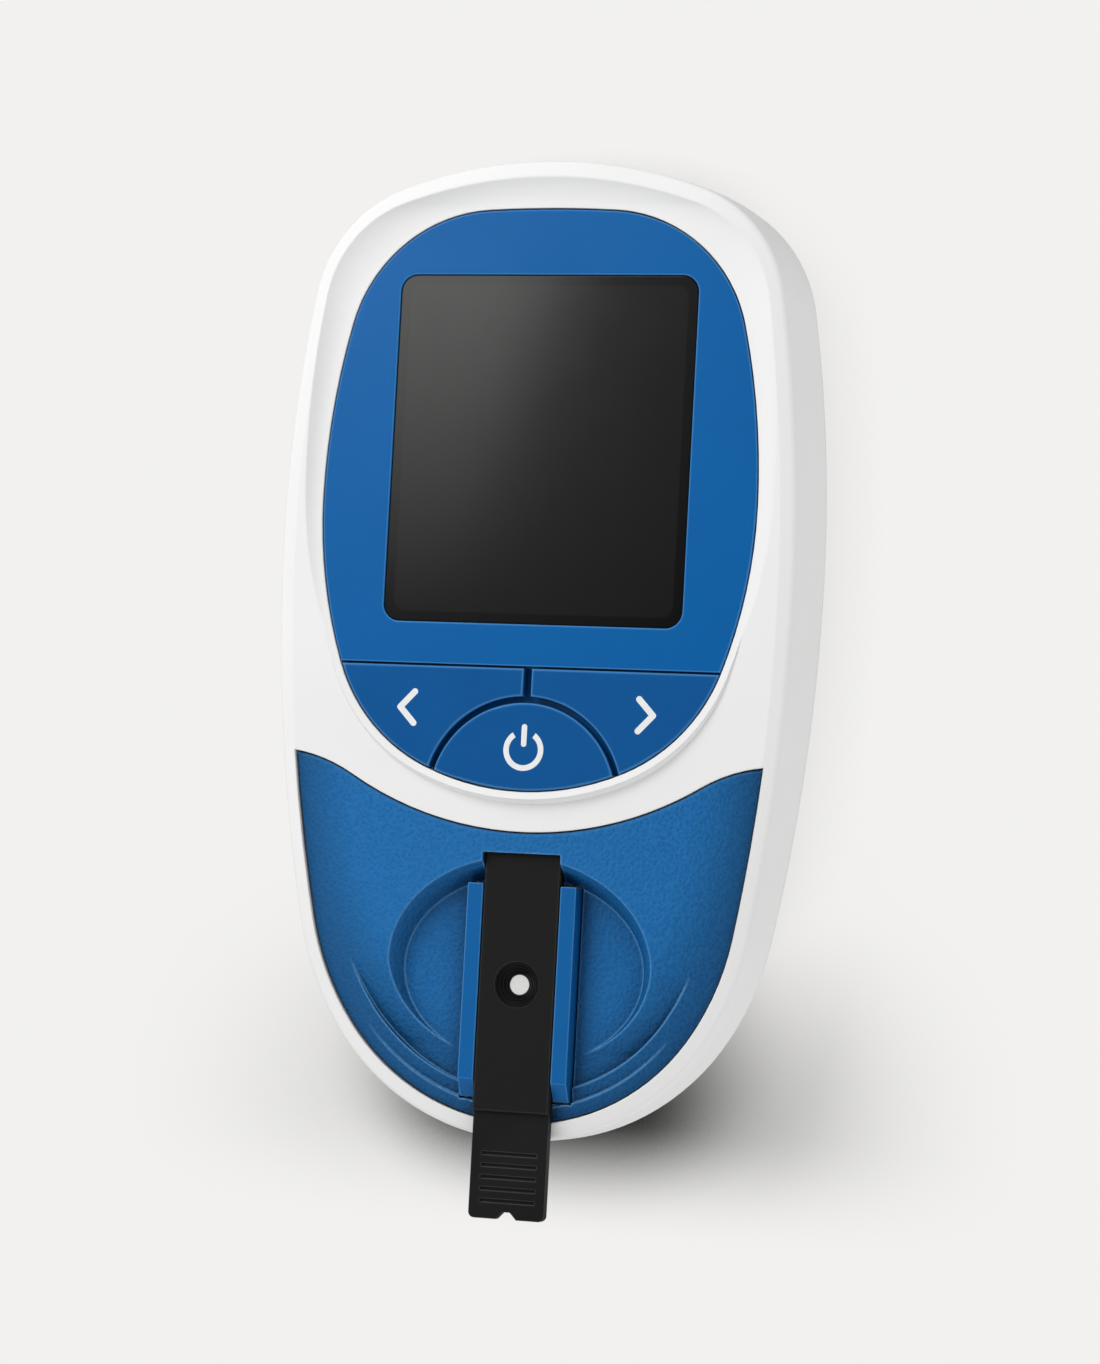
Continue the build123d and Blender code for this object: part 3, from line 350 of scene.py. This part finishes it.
plasticLooks = {
    "housingWhite": {"light": (0.872, 0.873, 0.870), "dark": (0.848, 0.849, 0.845), "specular": 0.20,
                     "cloud": 45.0, "grain": 4200.0, "depth": 0.000004, "rough": (0.34, 0.44),
                     "edge": 0.0003, "highlightTint": (0.90, 0.90, 0.90), "highlightShare": 0.6},
    "panelBlue": {"light": (0.0012, 0.113, 0.368), "dark": (0.0008, 0.106, 0.346), "specular": 0.20,
                  "cloud": 60.0, "grain": 3600.0, "depth": 0.0000015, "rough": (0.18, 0.25),
                  "edge": 0.00032, "highlightTint": (0.10, 0.36, 0.74), "highlightShare": 0.9, "lip": 0.6},
    "keyBlue": {"light": (0.0030, 0.092, 0.302), "dark": (0.0022, 0.083, 0.282), "specular": 0.13,
                "cloud": 90.0, "grain": 3600.0, "depth": 0.000004, "rough": (0.28, 0.38),
                "edge": 0.00045, "highlightTint": (0.11, 0.36, 0.72), "highlightShare": 0.9, "lip": 0.6},
    "railBlue": {"light": (0.0050, 0.118, 0.360), "dark": (0.0040, 0.108, 0.338), "specular": 0.16,
                 "cloud": 110.0, "grain": 3800.0, "depth": 0.000005, "rough": (0.26, 0.36),
                 "edge": 0.00030, "highlightTint": (0.10, 0.32, 0.64), "highlightShare": 0.9},
    "blackMoulding": {"light": (0.020, 0.020, 0.021), "dark": (0.014, 0.014, 0.015), "specular": 0.35,
                      "cloud": 160.0, "grain": 5000.0, "depth": 0.000006, "rough": (0.45, 0.60),
                      "edge": 0.0002, "highlightTint": (0.07, 0.07, 0.07), "highlightShare": 0.5},
    "stripBlack": {"light": (0.0115, 0.0115, 0.012), "dark": (0.0090, 0.0090, 0.0094), "specular": 0.14,
                   "cloud": 140.0, "grain": 6000.0, "depth": 0.000004, "rough": (0.46, 0.56),
                   "edge": 0.0002, "highlightTint": (0.09, 0.09, 0.092), "highlightShare": 0.8},
    "milkyDiffuser": {"light": (0.86, 0.87, 0.85), "dark": (0.81, 0.82, 0.80), "specular": 0.4,
                      "cloud": 120.0, "grain": 3000.0, "depth": 0.000004, "rough": (0.25, 0.35),
                      "edge": 0.0002, "highlightTint": (0.9, 0.9, 0.9), "highlightShare": 0.5},
    "footRubber": {"light": (0.56, 0.56, 0.56), "dark": (0.48, 0.48, 0.48), "specular": 0.25,
                   "cloud": 220.0, "grain": 2600.0, "depth": 0.000012, "rough": (0.72, 0.86),
                   "edge": 0.0003, "highlightTint": (0.62, 0.62, 0.62), "highlightShare": 0.6},
    "markWhite": {"light": (0.86, 0.87, 0.88), "dark": (0.80, 0.81, 0.82), "specular": 0.3,
                  "cloud": 900.0, "grain": 7000.0, "depth": 0.000003, "rough": (0.45, 0.58),
                  "edge": 0.00002, "highlightTint": (0.86, 0.87, 0.88), "highlightShare": 0.2},
}


def moulded(name, look):
    mat, tree, shader, spot = startFinish(name, specular=look["specular"])
    cloud = noise(tree, spot, look["cloud"], mouldSet["detail"])
    speck = noise(tree, spot, look["grain"], mouldSet["detail"])
    tint = blendColours(tree, remap(tree, cloud, *mouldSet["drift"]), look["light"], look["dark"])
    rounded = softEdges(tree, look["edge"])
    paintedHighlight = edgeHighlightMask(tree, rounded)
    if look.get("lip"):
        # the rounded lip of a face that lies level catches more light than the face
        level = putNode(tree, "SeparateXYZ", None, {0: rounded}).outputs[2]
        lip = product(tree, remap(tree, level, *mouldSet["lipTop"]),
                      remap(tree, level, *mouldSet["lipFoot"]), look["lip"])
        paintedHighlight = sums(tree, "MAXIMUM", paintedHighlight, lip)
    # painted highlight: the edges and the level lips are lightened in colour
    tint = blendColours(tree, product(tree, paintedHighlight, look["highlightShare"]), tint, look["highlightTint"])
    tree.links.new(tint, shader.inputs["Base Color"])
    rough = remap(tree, average(tree, speck, cloud), *mouldSet["drift"], *look["rough"])
    tree.links.new(rough, shader.inputs["Roughness"])
    raised(tree, shader, speck, look["depth"], rounded)
    return mat


coverLook = {
    "light": (0.0120, 0.156, 0.426), "dark": (0.0055, 0.120, 0.358), "specular": 0.2,
    "cell": 2000.0, "cellBlend": 0.4, "wander": 800.0, "wanderBy": 0.0004,
    "pore": 4200.0, "poreDetail": 3.0, "poreShare": 0.5, "grainSpan": (0.35, 0.95),
    "broad": 55.0, "broadSpan": (0.35, 0.65), "broadShare": 0.35,
    "depth": 0.00012, "rough": (0.32, 0.48),
    "edge": 0.0005, "highlightTint": (0.12, 0.36, 0.72), "highlightShare": 0.8,
    "rimSpan": (0.72, 1.00), "rimPaintedShade": 0.62, "rimFall": 0.0006, "crownRadius": 0.15,
    "corner": 0.010, "cornerSpan": (0.45, 0.98), "cornerShade": 0.28,
}


def grainedCover(name):
    mat, tree, shader, spot = startFinish(name, specular=coverLook["specular"])
    wander = putNode(tree, "TexNoise", None, {"Vector": spot, "Scale": coverLook["wander"]})
    shifted = vectors(tree, "MULTIPLY_ADD", wander.outputs["Color"], (coverLook["wanderBy"],) * 3, spot)
    cells = putNode(tree, "TexVoronoi", {"feature": "SMOOTH_F1"},
                    {"Vector": shifted, "Scale": coverLook["cell"],
                     "Smoothness": coverLook["cellBlend"]}).outputs["Distance"]
    pores = noise(tree, spot, coverLook["pore"], coverLook["poreDetail"])
    height = sums(tree, "MULTIPLY_ADD", pores, coverLook["poreShare"], cells)
    tint = blendColours(tree, remap(tree, height, *coverLook["grainSpan"]),
                        coverLook["dark"], coverLook["light"])
    broad = noise(tree, spot, coverLook["broad"])
    tint = blendColours(tree, remap(tree, broad, *coverLook["broadSpan"], 0.0, coverLook["broadShare"]),
                        tint, coverLook["light"])
    # the cover is crowned: it falls away a little towards its rounded rim, and its colour carries painted
    # shade there
    low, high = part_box("lower_cover")
    centred = vectors(tree, "SUBTRACT", spot, (0.0, high.y, 0.0))
    scaled = vectors(tree, "MULTIPLY", centred, (1 / high.x, 1 / (high.y - low.y), 0.0))
    outwards = vectors(tree, "LENGTH", scaled, result="Value")
    rimShadeAndFall = remap(tree, outwards, *coverLook["rimSpan"], 0.0, 1.0, True)
    paintedRimShade = blendColours(tree, 1.0, tint, (coverLook["rimPaintedShade"],) * 3, "MULTIPLY")
    tint = blendColours(tree, rimShadeAndFall, tint, paintedRimShade)
    # the dish and the steps gather a little shade in their corners
    corner = openness(tree, coverLook["corner"])
    shade = remap(tree, corner, *coverLook["cornerSpan"], coverLook["cornerShade"], 1.0)
    tint = blendColours(tree, shade, black, tint)
    rounded = softEdges(tree, coverLook["edge"])
    sideways = putNode(tree, "SeparateXYZ", None, {0: spot}).outputs[0]
    bowed = product(tree, sideways, sideways, 0.5 / coverLook["crownRadius"])
    fall = sums(tree, "MULTIPLY_ADD", rimShadeAndFall, coverLook["rimFall"], bowed)
    crowned = putNode(tree, "Bump", {"invert": True},
                      {"Height": fall, "Distance": 1.0, "Strength": 1.0, "Normal": rounded}).outputs[0]
    # painted highlight: the cover's edges are lightened in colour
    paintedHighlight = product(tree, edgeHighlightMask(tree, rounded), coverLook["highlightShare"])
    tint = blendColours(tree, paintedHighlight, tint, coverLook["highlightTint"])
    tree.links.new(tint, shader.inputs["Base Color"])
    rough = remap(tree, height, *coverLook["grainSpan"], *coverLook["rough"])
    tree.links.new(rough, shader.inputs["Roughness"])
    raised(tree, shader, height, coverLook["depth"], crowned)
    return mat


def insideRounded(tree, spot, centre, half, corner, blur):
    # 1 inside a rounded rectangle on the XY plane, 0 outside
    axes = putNode(tree, "SeparateXYZ", None, {0: spot})
    past = []
    for axis in (0, 1):
        apart = sums(tree, "ABSOLUTE", sums(tree, "SUBTRACT", axes.outputs[axis], centre[axis]))
        past.append(sums(tree, "MAXIMUM", sums(tree, "SUBTRACT", apart, half[axis] - corner), 0.0))
    squares = sums(tree, "MULTIPLY_ADD", past[0], past[0], product(tree, past[1], past[1]))
    away = sums(tree, "SQRT", squares)
    return remap(tree, away, corner + blur, corner - blur, 0.0, 1.0, True)


windowLook = {
    "inset": 0.0013, "corner": 0.0016, "blur": 0.00012,
    "field": (0.0090, 0.0092, 0.0094), "band": (0.0036, 0.0037, 0.0040),
    "haze": 80.0, "hazeShade": 0.9,
    "wipe": 240.0, "wipeStretch": (1.0, 0.6, 1.0), "wipeSpan": (0.3, 0.75), "rough": (0.070, 0.085),
    "edge": 0.0002, "depth": 0.0000001,
}


def smokedWindow(name):
    mat, tree, shader, spot = startFinish(name)
    centre, half = spanOf(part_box("display_window"), windowLook["inset"], windowLook["inset"])
    inner = insideRounded(tree, spot, centre, half, windowLook["corner"], windowLook["blur"])
    haze = noise(tree, spot, windowLook["haze"])
    field = blendColours(tree, haze, windowLook["field"],
                         dimmer(windowLook["field"], windowLook["hazeShade"]))
    tree.links.new(blendColours(tree, inner, windowLook["band"], field), shader.inputs["Base Color"])
    wipe = noise(tree, stretched(tree, spot, windowLook["wipeStretch"]), windowLook["wipe"])
    rough = remap(tree, wipe, *windowLook["wipeSpan"], *windowLook["rough"])
    tree.links.new(rough, shader.inputs["Roughness"])
    raised(tree, shader, wipe, windowLook["depth"], softEdges(tree, windowLook["edge"]))
    return mat


wellLook = {
    "radius": 0.0031, "blur": 0.00005, "black": (0.0030, 0.0030, 0.0033), "specular": 0.16,
    "ring": 0.00042, "depth": 0.00002, "rough": (0.50, 0.16),  # outside, then in the well
    "grain": 6000.0, "grainDetail": 3.0, "grainShare": 0.12,
}


def ringedWell(name):
    # the top layer of the strip: satin outside, polished and finely ringed around the pad
    strip = plasticLooks["stripBlack"]
    mat, tree, shader, spot = startFinish(name, specular=wellLook["specular"])
    centre = spanOf(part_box("reagent_pad"))[0]
    flat = vectors(tree, "MULTIPLY", spot, (1.0, 1.0, 0.0))
    away = vectors(tree, "DISTANCE", flat, centre, result="Value")
    inWell = remap(tree, away, wellLook["radius"] + wellLook["blur"], wellLook["radius"] - wellLook["blur"])
    speck = noise(tree, spot, wellLook["grain"], wellLook["grainDetail"])
    tint = blendColours(tree, speck, strip["light"], strip["dark"])
    tint = blendColours(tree, inWell, tint, wellLook["black"])
    rounded = softEdges(tree, strip["edge"])
    # painted highlight: the strip's edges are lightened in colour
    paintedHighlight = product(tree, edgeHighlightMask(tree, rounded), strip["highlightShare"])
    tree.links.new(blendColours(tree, paintedHighlight, tint, strip["highlightTint"]), shader.inputs["Base Color"])
    wave = sums(tree, "SINE", product(tree, away, 2 * pi / wellLook["ring"]))
    rings = product(tree, sums(tree, "MULTIPLY_ADD", wave, 0.5, 0.5), inWell)
    height = sums(tree, "MULTIPLY_ADD", speck, wellLook["grainShare"], rings)
    tree.links.new(remap(tree, inWell, 0.0, 1.0, *wellLook["rough"]), shader.inputs["Roughness"])
    raised(tree, shader, height, wellLook["depth"], rounded)
    return mat


padLook = {
    "dark": (0.78, 0.78, 0.76), "light": (0.88, 0.88, 0.87), "rough": 0.9, "specular": 0.15,
    "thread": 9000.0, "threadDetail": 3.0, "threadStretch": 0.12, "weaveSpan": (0.35, 0.65),
    "depth": 0.00003,
}


def paperPad(name):
    mat, tree, shader, spot = startFinish(name, padLook["rough"], specular=padLook["specular"])
    threads = []
    for stretch in ((1.0, padLook["threadStretch"], 1.0), (padLook["threadStretch"], 1.0, 1.0)):
        threads.append(noise(tree, stretched(tree, spot, stretch), padLook["thread"],
                             padLook["threadDetail"]))
    weave = average(tree, *threads)
    tint = blendColours(tree, remap(tree, weave, *padLook["weaveSpan"]), padLook["dark"], padLook["light"])
    tree.links.new(tint, shader.inputs["Base Color"])
    raised(tree, shader, weave, padLook["depth"])
    return mat


boardLook = {
    "rough": 0.32, "lacquer": (0.006, 0.085, 0.030), "lacquerDark": (0.004, 0.070, 0.025), "mottle": 300.0,
    "track": (0.012, 0.145, 0.055), "trackScale": 330.0, "trackDrift": 0.35, "trackSpan": (0.085, 0.065),
    "pad": (0.55, 0.52, 0.44), "padScale": 210.0, "padDrift": 0.6, "padSpan": (0.13, 0.11),
    "depth": 0.00003,
}


def greenBoard(name):
    mat, tree, shader, spot = startFinish(name, boardLook["rough"])
    plane = vectors(tree, "MULTIPLY", spot, (1.0, 1.0, 0.0))
    tracks = putNode(tree, "TexVoronoi", {"feature": "DISTANCE_TO_EDGE"},
                     {"Vector": plane, "Scale": boardLook["trackScale"],
                      "Randomness": boardLook["trackDrift"]}).outputs["Distance"]
    track = remap(tree, tracks, *boardLook["trackSpan"])
    pads = putNode(tree, "TexVoronoi", {"feature": "F1"},
                   {"Vector": plane, "Scale": boardLook["padScale"],
                    "Randomness": boardLook["padDrift"]}).outputs["Distance"]
    pad = remap(tree, pads, *boardLook["padSpan"])
    mottle = noise(tree, spot, boardLook["mottle"])
    tint = blendColours(tree, mottle, boardLook["lacquer"], boardLook["lacquerDark"])
    tint = blendColours(tree, track, tint, boardLook["track"])
    tint = blendColours(tree, pad, tint, boardLook["pad"])
    tree.links.new(tint, shader.inputs["Base Color"])
    tree.links.new(pad, shader.inputs["Metallic"])
    raised(tree, shader, sums(tree, "MAXIMUM", track, pad), boardLook["depth"])
    return mat


# drawn metals: long fine lines, and a few stains
drawnSet = {
    "lineDetail": 4.0, "lineSpan": (0.35, 0.65), "roughSpan": (0.3, 0.7), "edge": 0.00012,
    "stain": 220.0, "stainDetail": 3.0, "stainSpan": (0.5, 0.75), "stainShare": 0.35,
}

metalLooks = {
    "switchSteel": {"light": (0.66, 0.66, 0.64), "dark": (0.54, 0.54, 0.53), "rough": (0.26, 0.40),
                    "stretch": (1.0, 0.06, 1.0), "scale": 5000.0, "depth": 0.000004},
    "contactSteel": {"light": (0.72, 0.71, 0.68), "dark": (0.58, 0.57, 0.55), "rough": (0.20, 0.34),
                     "stretch": (1.0, 1.0, 0.08), "scale": 6000.0, "depth": 0.000004},
    "cellJacket": {"light": (0.50, 0.51, 0.53), "dark": (0.40, 0.41, 0.43), "rough": (0.28, 0.42),
                   "stretch": (1.0, 0.03, 1.0), "scale": 4000.0, "depth": 0.000005},
}


def drawnMetal(name, look):
    mat, tree, shader, spot = startFinish(name, metal=1.0)
    lines = noise(tree, stretched(tree, spot, look["stretch"]), look["scale"], drawnSet["lineDetail"])
    stain = noise(tree, spot, drawnSet["stain"], drawnSet["stainDetail"])
    tint = blendColours(tree, remap(tree, lines, *drawnSet["lineSpan"]), look["light"], look["dark"])
    stained = remap(tree, stain, *drawnSet["stainSpan"], 0.0, drawnSet["stainShare"])
    tree.links.new(blendColours(tree, stained, tint, look["dark"]), shader.inputs["Base Color"])
    rough = remap(tree, lines, *drawnSet["roughSpan"], *look["rough"])
    tree.links.new(rough, shader.inputs["Roughness"])
    raised(tree, shader, lines, look["depth"], softEdges(tree, drawnSet["edge"]))
    return mat


# even stripes across X, as on a contact strip or a printed film
stripeSet = {
    "edge": (0.42, 0.58), "speck": 3500.0, "speckDetail": 3.0, "speckSpan": (0.3, 0.7),
    "speckShare": 0.25, "speckShade": 0.7, "speckHeight": 0.3, "depth": 0.00001,
}

stripeLooks = {
    "contactRubber": {"bands": 900.0, "first": (0.62, 0.30, 0.34), "second": (0.05, 0.045, 0.05),
                      "rough": 0.75},
    "amberFilm": {"bands": 330.0, "first": (0.42, 0.17, 0.03), "second": (0.60, 0.30, 0.12),
                  "rough": 0.35},
}


def striped(name, look):
    mat, tree, shader, spot = startFinish(name, look["rough"])
    wave = putNode(tree, "TexWave", {"wave_type": "BANDS", "bands_direction": "X"},
                   {"Vector": spot, "Scale": look["bands"]}).outputs["Fac"]
    speck = noise(tree, spot, stripeSet["speck"], stripeSet["speckDetail"])
    stripe = remap(tree, wave, *stripeSet["edge"])
    tint = blendColours(tree, stripe, look["first"], look["second"])
    specked = remap(tree, speck, *stripeSet["speckSpan"], 0.0, stripeSet["speckShare"])
    tint = blendColours(tree, specked, tint, dimmer(look["first"], stripeSet["speckShade"]))
    tree.links.new(tint, shader.inputs["Base Color"])
    height = sums(tree, "MULTIPLY_ADD", speck, stripeSet["speckHeight"], stripe)
    raised(tree, shader, height, stripeSet["depth"])
    return mat


displayLook = {
    "light": (0.085, 0.098, 0.088), "dark": (0.070, 0.082, 0.074), "border": (0.02, 0.02, 0.021),
    "rough": 0.12, "haze": 150.0, "insetX": 0.002, "insetY": 0.003, "corner": 0.0008, "blur": 0.0001,
    "depth": 0.000002,
}


def displayGlass(name):
    mat, tree, shader, spot = startFinish(name, displayLook["rough"])
    haze = noise(tree, spot, displayLook["haze"])
    tint = blendColours(tree, haze, displayLook["light"], displayLook["dark"])
    centre, half = spanOf(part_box("lcd_glass"), displayLook["insetX"], displayLook["insetY"])
    viewed = insideRounded(tree, spot, centre, half, displayLook["corner"], displayLook["blur"])
    tree.links.new(blendColours(tree, viewed, displayLook["border"], tint), shader.inputs["Base Color"])
    raised(tree, shader, haze, displayLook["depth"])
    return mat


opticLook = {
    "light": (0.90, 0.93, 0.94), "dark": (0.80, 0.85, 0.87), "rough": 0.06, "clear": 0.85, "bend": 1.49,
    "haze": 700.0, "hazeDetail": 3.0, "depth": 0.000003,
}


def opticGlass(name):
    mat, tree, shader, spot = startFinish(name, opticLook["rough"])
    shader.inputs["Transmission Weight"].default_value = opticLook["clear"]
    shader.inputs["IOR"].default_value = opticLook["bend"]
    haze = noise(tree, spot, opticLook["haze"], opticLook["hazeDetail"])
    tree.links.new(blendColours(tree, haze, opticLook["light"], opticLook["dark"]),
                   shader.inputs["Base Color"])
    raised(tree, shader, haze, opticLook["depth"])
    return mat


finishedIn = {
    "housingWhite": ("front_shell", "rear_shell", "battery_door"),
    "panelBlue": ("display_panel",),
    "keyBlue": ("key_left", "key_right", "key_power"),
    "railBlue": ("strip_guide",),
    "coverGrain": ("lower_cover",),
    "smokedWindow": ("display_window",),
    "displayGlass": ("lcd_glass",),
    "blackMoulding": ("lcd_frame", "control_chip", "buzzer", "plunger_left", "plunger_right",
                      "plunger_power", "optics_block", "photodiode"),
    "milkyDiffuser": ("lcd_backlight",),
    "contactRubber": ("lcd_connectors",),
    "boardLacquer": ("main_board", "optics_board"),
    "switchSteel": ("key_switches",),
    "opticGlass": ("optics_window", "optics_leds"),
    "stripBlack": ("strip_base",),
    "ringedWell": ("strip_top",),
    "padPaper": ("reagent_pad",),
    "cellJacket": ("battery_cells",),
    "contactSteel": ("battery_contacts", "housing_screws", "board_screws"),
    "footRubber": ("rubber_feet",),
    "amberFilm": ("flex_cable",),
}


def makeFinishes():
    made = {}
    for make, looks in ((moulded, plasticLooks), (drawnMetal, metalLooks), (striped, stripeLooks)):
        for name, look in looks.items():
            made[name] = make(name, look)
    for name, make in (("coverGrain", grainedCover), ("smokedWindow", smokedWindow),
                       ("ringedWell", ringedWell), ("padPaper", paperPad),
                       ("boardLacquer", greenBoard), ("displayGlass", displayGlass),
                       ("opticGlass", opticGlass)):
        made[name] = make(name)
    return made


def finishNodes():
    for name, pieces in finishedIn.items():
        for piece in pieces:
            nodes[piece].data.materials.clear()
            nodes[piece].data.materials.append(finishes[name])


finishes = makeFinishes()
finishNodes()
print("finishes are on", len(nodes), "nodes")


# the white marks on the keys, in millimetres, with the ring's gap in degrees
markSet = {
    "stroke": 0.85, "thick": 0.03, "sunk": 0.005, "facets": 32,
    "arrowTip": 17.375, "arrowBack": 15.425, "arrowMiddle": -3.55, "arrowHalf": 2.075,
    "ringCentre": (0.0, -8.65), "ringRadius": 2.375, "ringStroke": 0.75, "ringGap": 35.0,
    "barTop": -5.625, "barBottom": -7.875, "ringSteps": 40,
    "leastSide": 1e-9, "weld": 1e-7,  # near nothing, for the choice of the rim's half and the welding
}


def strokeBar(start, end, stroke, level):
    # a round-ended stroke: a disc, with half of its rim drawn out to the other end
    letGo()
    bpy.ops.mesh.primitive_cylinder_add(vertices=markSet["facets"], radius=stroke / 2 * mm,
                                        depth=markSet["thick"] * mm,
                                        location=(start[0] * mm, start[1] * mm, level))
    bar = bpy.context.object
    bpy.ops.object.transform_apply(location=True, rotation=True, scale=True)
    run = Vector((end[0] - start[0], end[1] - start[1], 0.0))
    middle = Vector((start[0] * mm, start[1] * mm, 0.0))
    bpy.ops.object.mode_set(mode="EDIT")
    bpy.ops.mesh.select_all(action="DESELECT")
    bpy.ops.object.mode_set(mode="OBJECT")
    for vertex in bar.data.vertices:
        vertex.select = (vertex.co - middle).dot(run) > markSet["leastSide"]
    bpy.ops.object.mode_set(mode="EDIT")
    bpy.ops.transform.translate(value=run * mm)
    bpy.ops.object.mode_set(mode="OBJECT")
    return bar


def arcBand(level):
    # an upright cross-section of the stroke, spun about the ring's centre
    cx, cy = markSet["ringCentre"]
    radius = markSet["ringRadius"]
    letGo()
    bpy.ops.mesh.primitive_plane_add(size=1.0, location=(0, 0, 0), rotation=(pi / 2, 0, 0))
    band = bpy.context.object
    band.scale = (markSet["ringStroke"] * mm, markSet["thick"] * mm, 1.0)
    band.location = ((cx + radius) * mm, cy * mm, level)
    bpy.ops.object.transform_apply(location=True, rotation=True, scale=True)
    centre = (cx * mm, cy * mm, level)
    gap = radians(markSet["ringGap"])
    bpy.ops.object.mode_set(mode="EDIT")
    bpy.ops.mesh.select_all(action="SELECT")
    bpy.ops.transform.rotate(value=-(pi / 2 + gap), orient_axis="Z", center_override=centre)
    bpy.ops.mesh.spin(steps=markSet["ringSteps"], angle=-(2 * pi - 2 * gap), center=centre,
                      axis=(0, 0, 1))
    bpy.ops.mesh.select_all(action="SELECT")
    bpy.ops.mesh.remove_doubles(threshold=markSet["weld"])
    bpy.ops.mesh.normals_make_consistent(inside=False)
    bpy.ops.object.mode_set(mode="OBJECT")
    return band


def pick(pieces):
    letGo()
    for piece in pieces:
        piece.select_set(True)
    bpy.context.view_layer.objects.active = pieces[0]


def fuse(whole, piece):
    # for strokes that overlap
    pick([whole])
    union = whole.modifiers.new("union", "BOOLEAN")
    union.operation = "UNION"
    union.solver = "EXACT"
    union.object = piece
    bpy.ops.object.modifier_apply(modifier=union.name)
    bpy.data.objects.remove(piece)
    return whole


def gather(pieces):
    # for strokes that stand apart
    pick(pieces)
    bpy.ops.object.join()
    return pieces[0]


def nameMark(mark, name):
    mark.name = name
    mark.data.name = name
    mark.data.materials.clear()
    mark.data.materials.append(finishes["markWhite"])


def arrowMark(side, level):
    tip = (side * markSet["arrowTip"], markSet["arrowMiddle"])
    strokes = []
    for up in (1, -1):
        end = (side * markSet["arrowBack"], markSet["arrowMiddle"] + up * markSet["arrowHalf"])
        strokes.append(strokeBar(tip, end, markSet["stroke"], level))
    return fuse(*strokes)


def powerMark(level):
    middle = markSet["ringCentre"][0]
    bar = strokeBar((middle, markSet["barTop"]), (middle, markSet["barBottom"]), markSet["ringStroke"],
                    level)
    return gather([arcBand(level), bar])


def markKeys():
    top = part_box("key_left")[1].z
    level = top + (markSet["thick"] / 2 - markSet["sunk"]) * mm
    for side, body, name in ((-1, "left_key", "backMark"), (1, "right_key", "onwardMark")):
        mark = arrowMark(side, level)
        nameMark(mark, name)
        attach(mark, body)
    mark = powerMark(level)
    nameMark(mark, "powerMark")
    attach(mark, "power_key")


markKeys()
print("marks are on the keys")
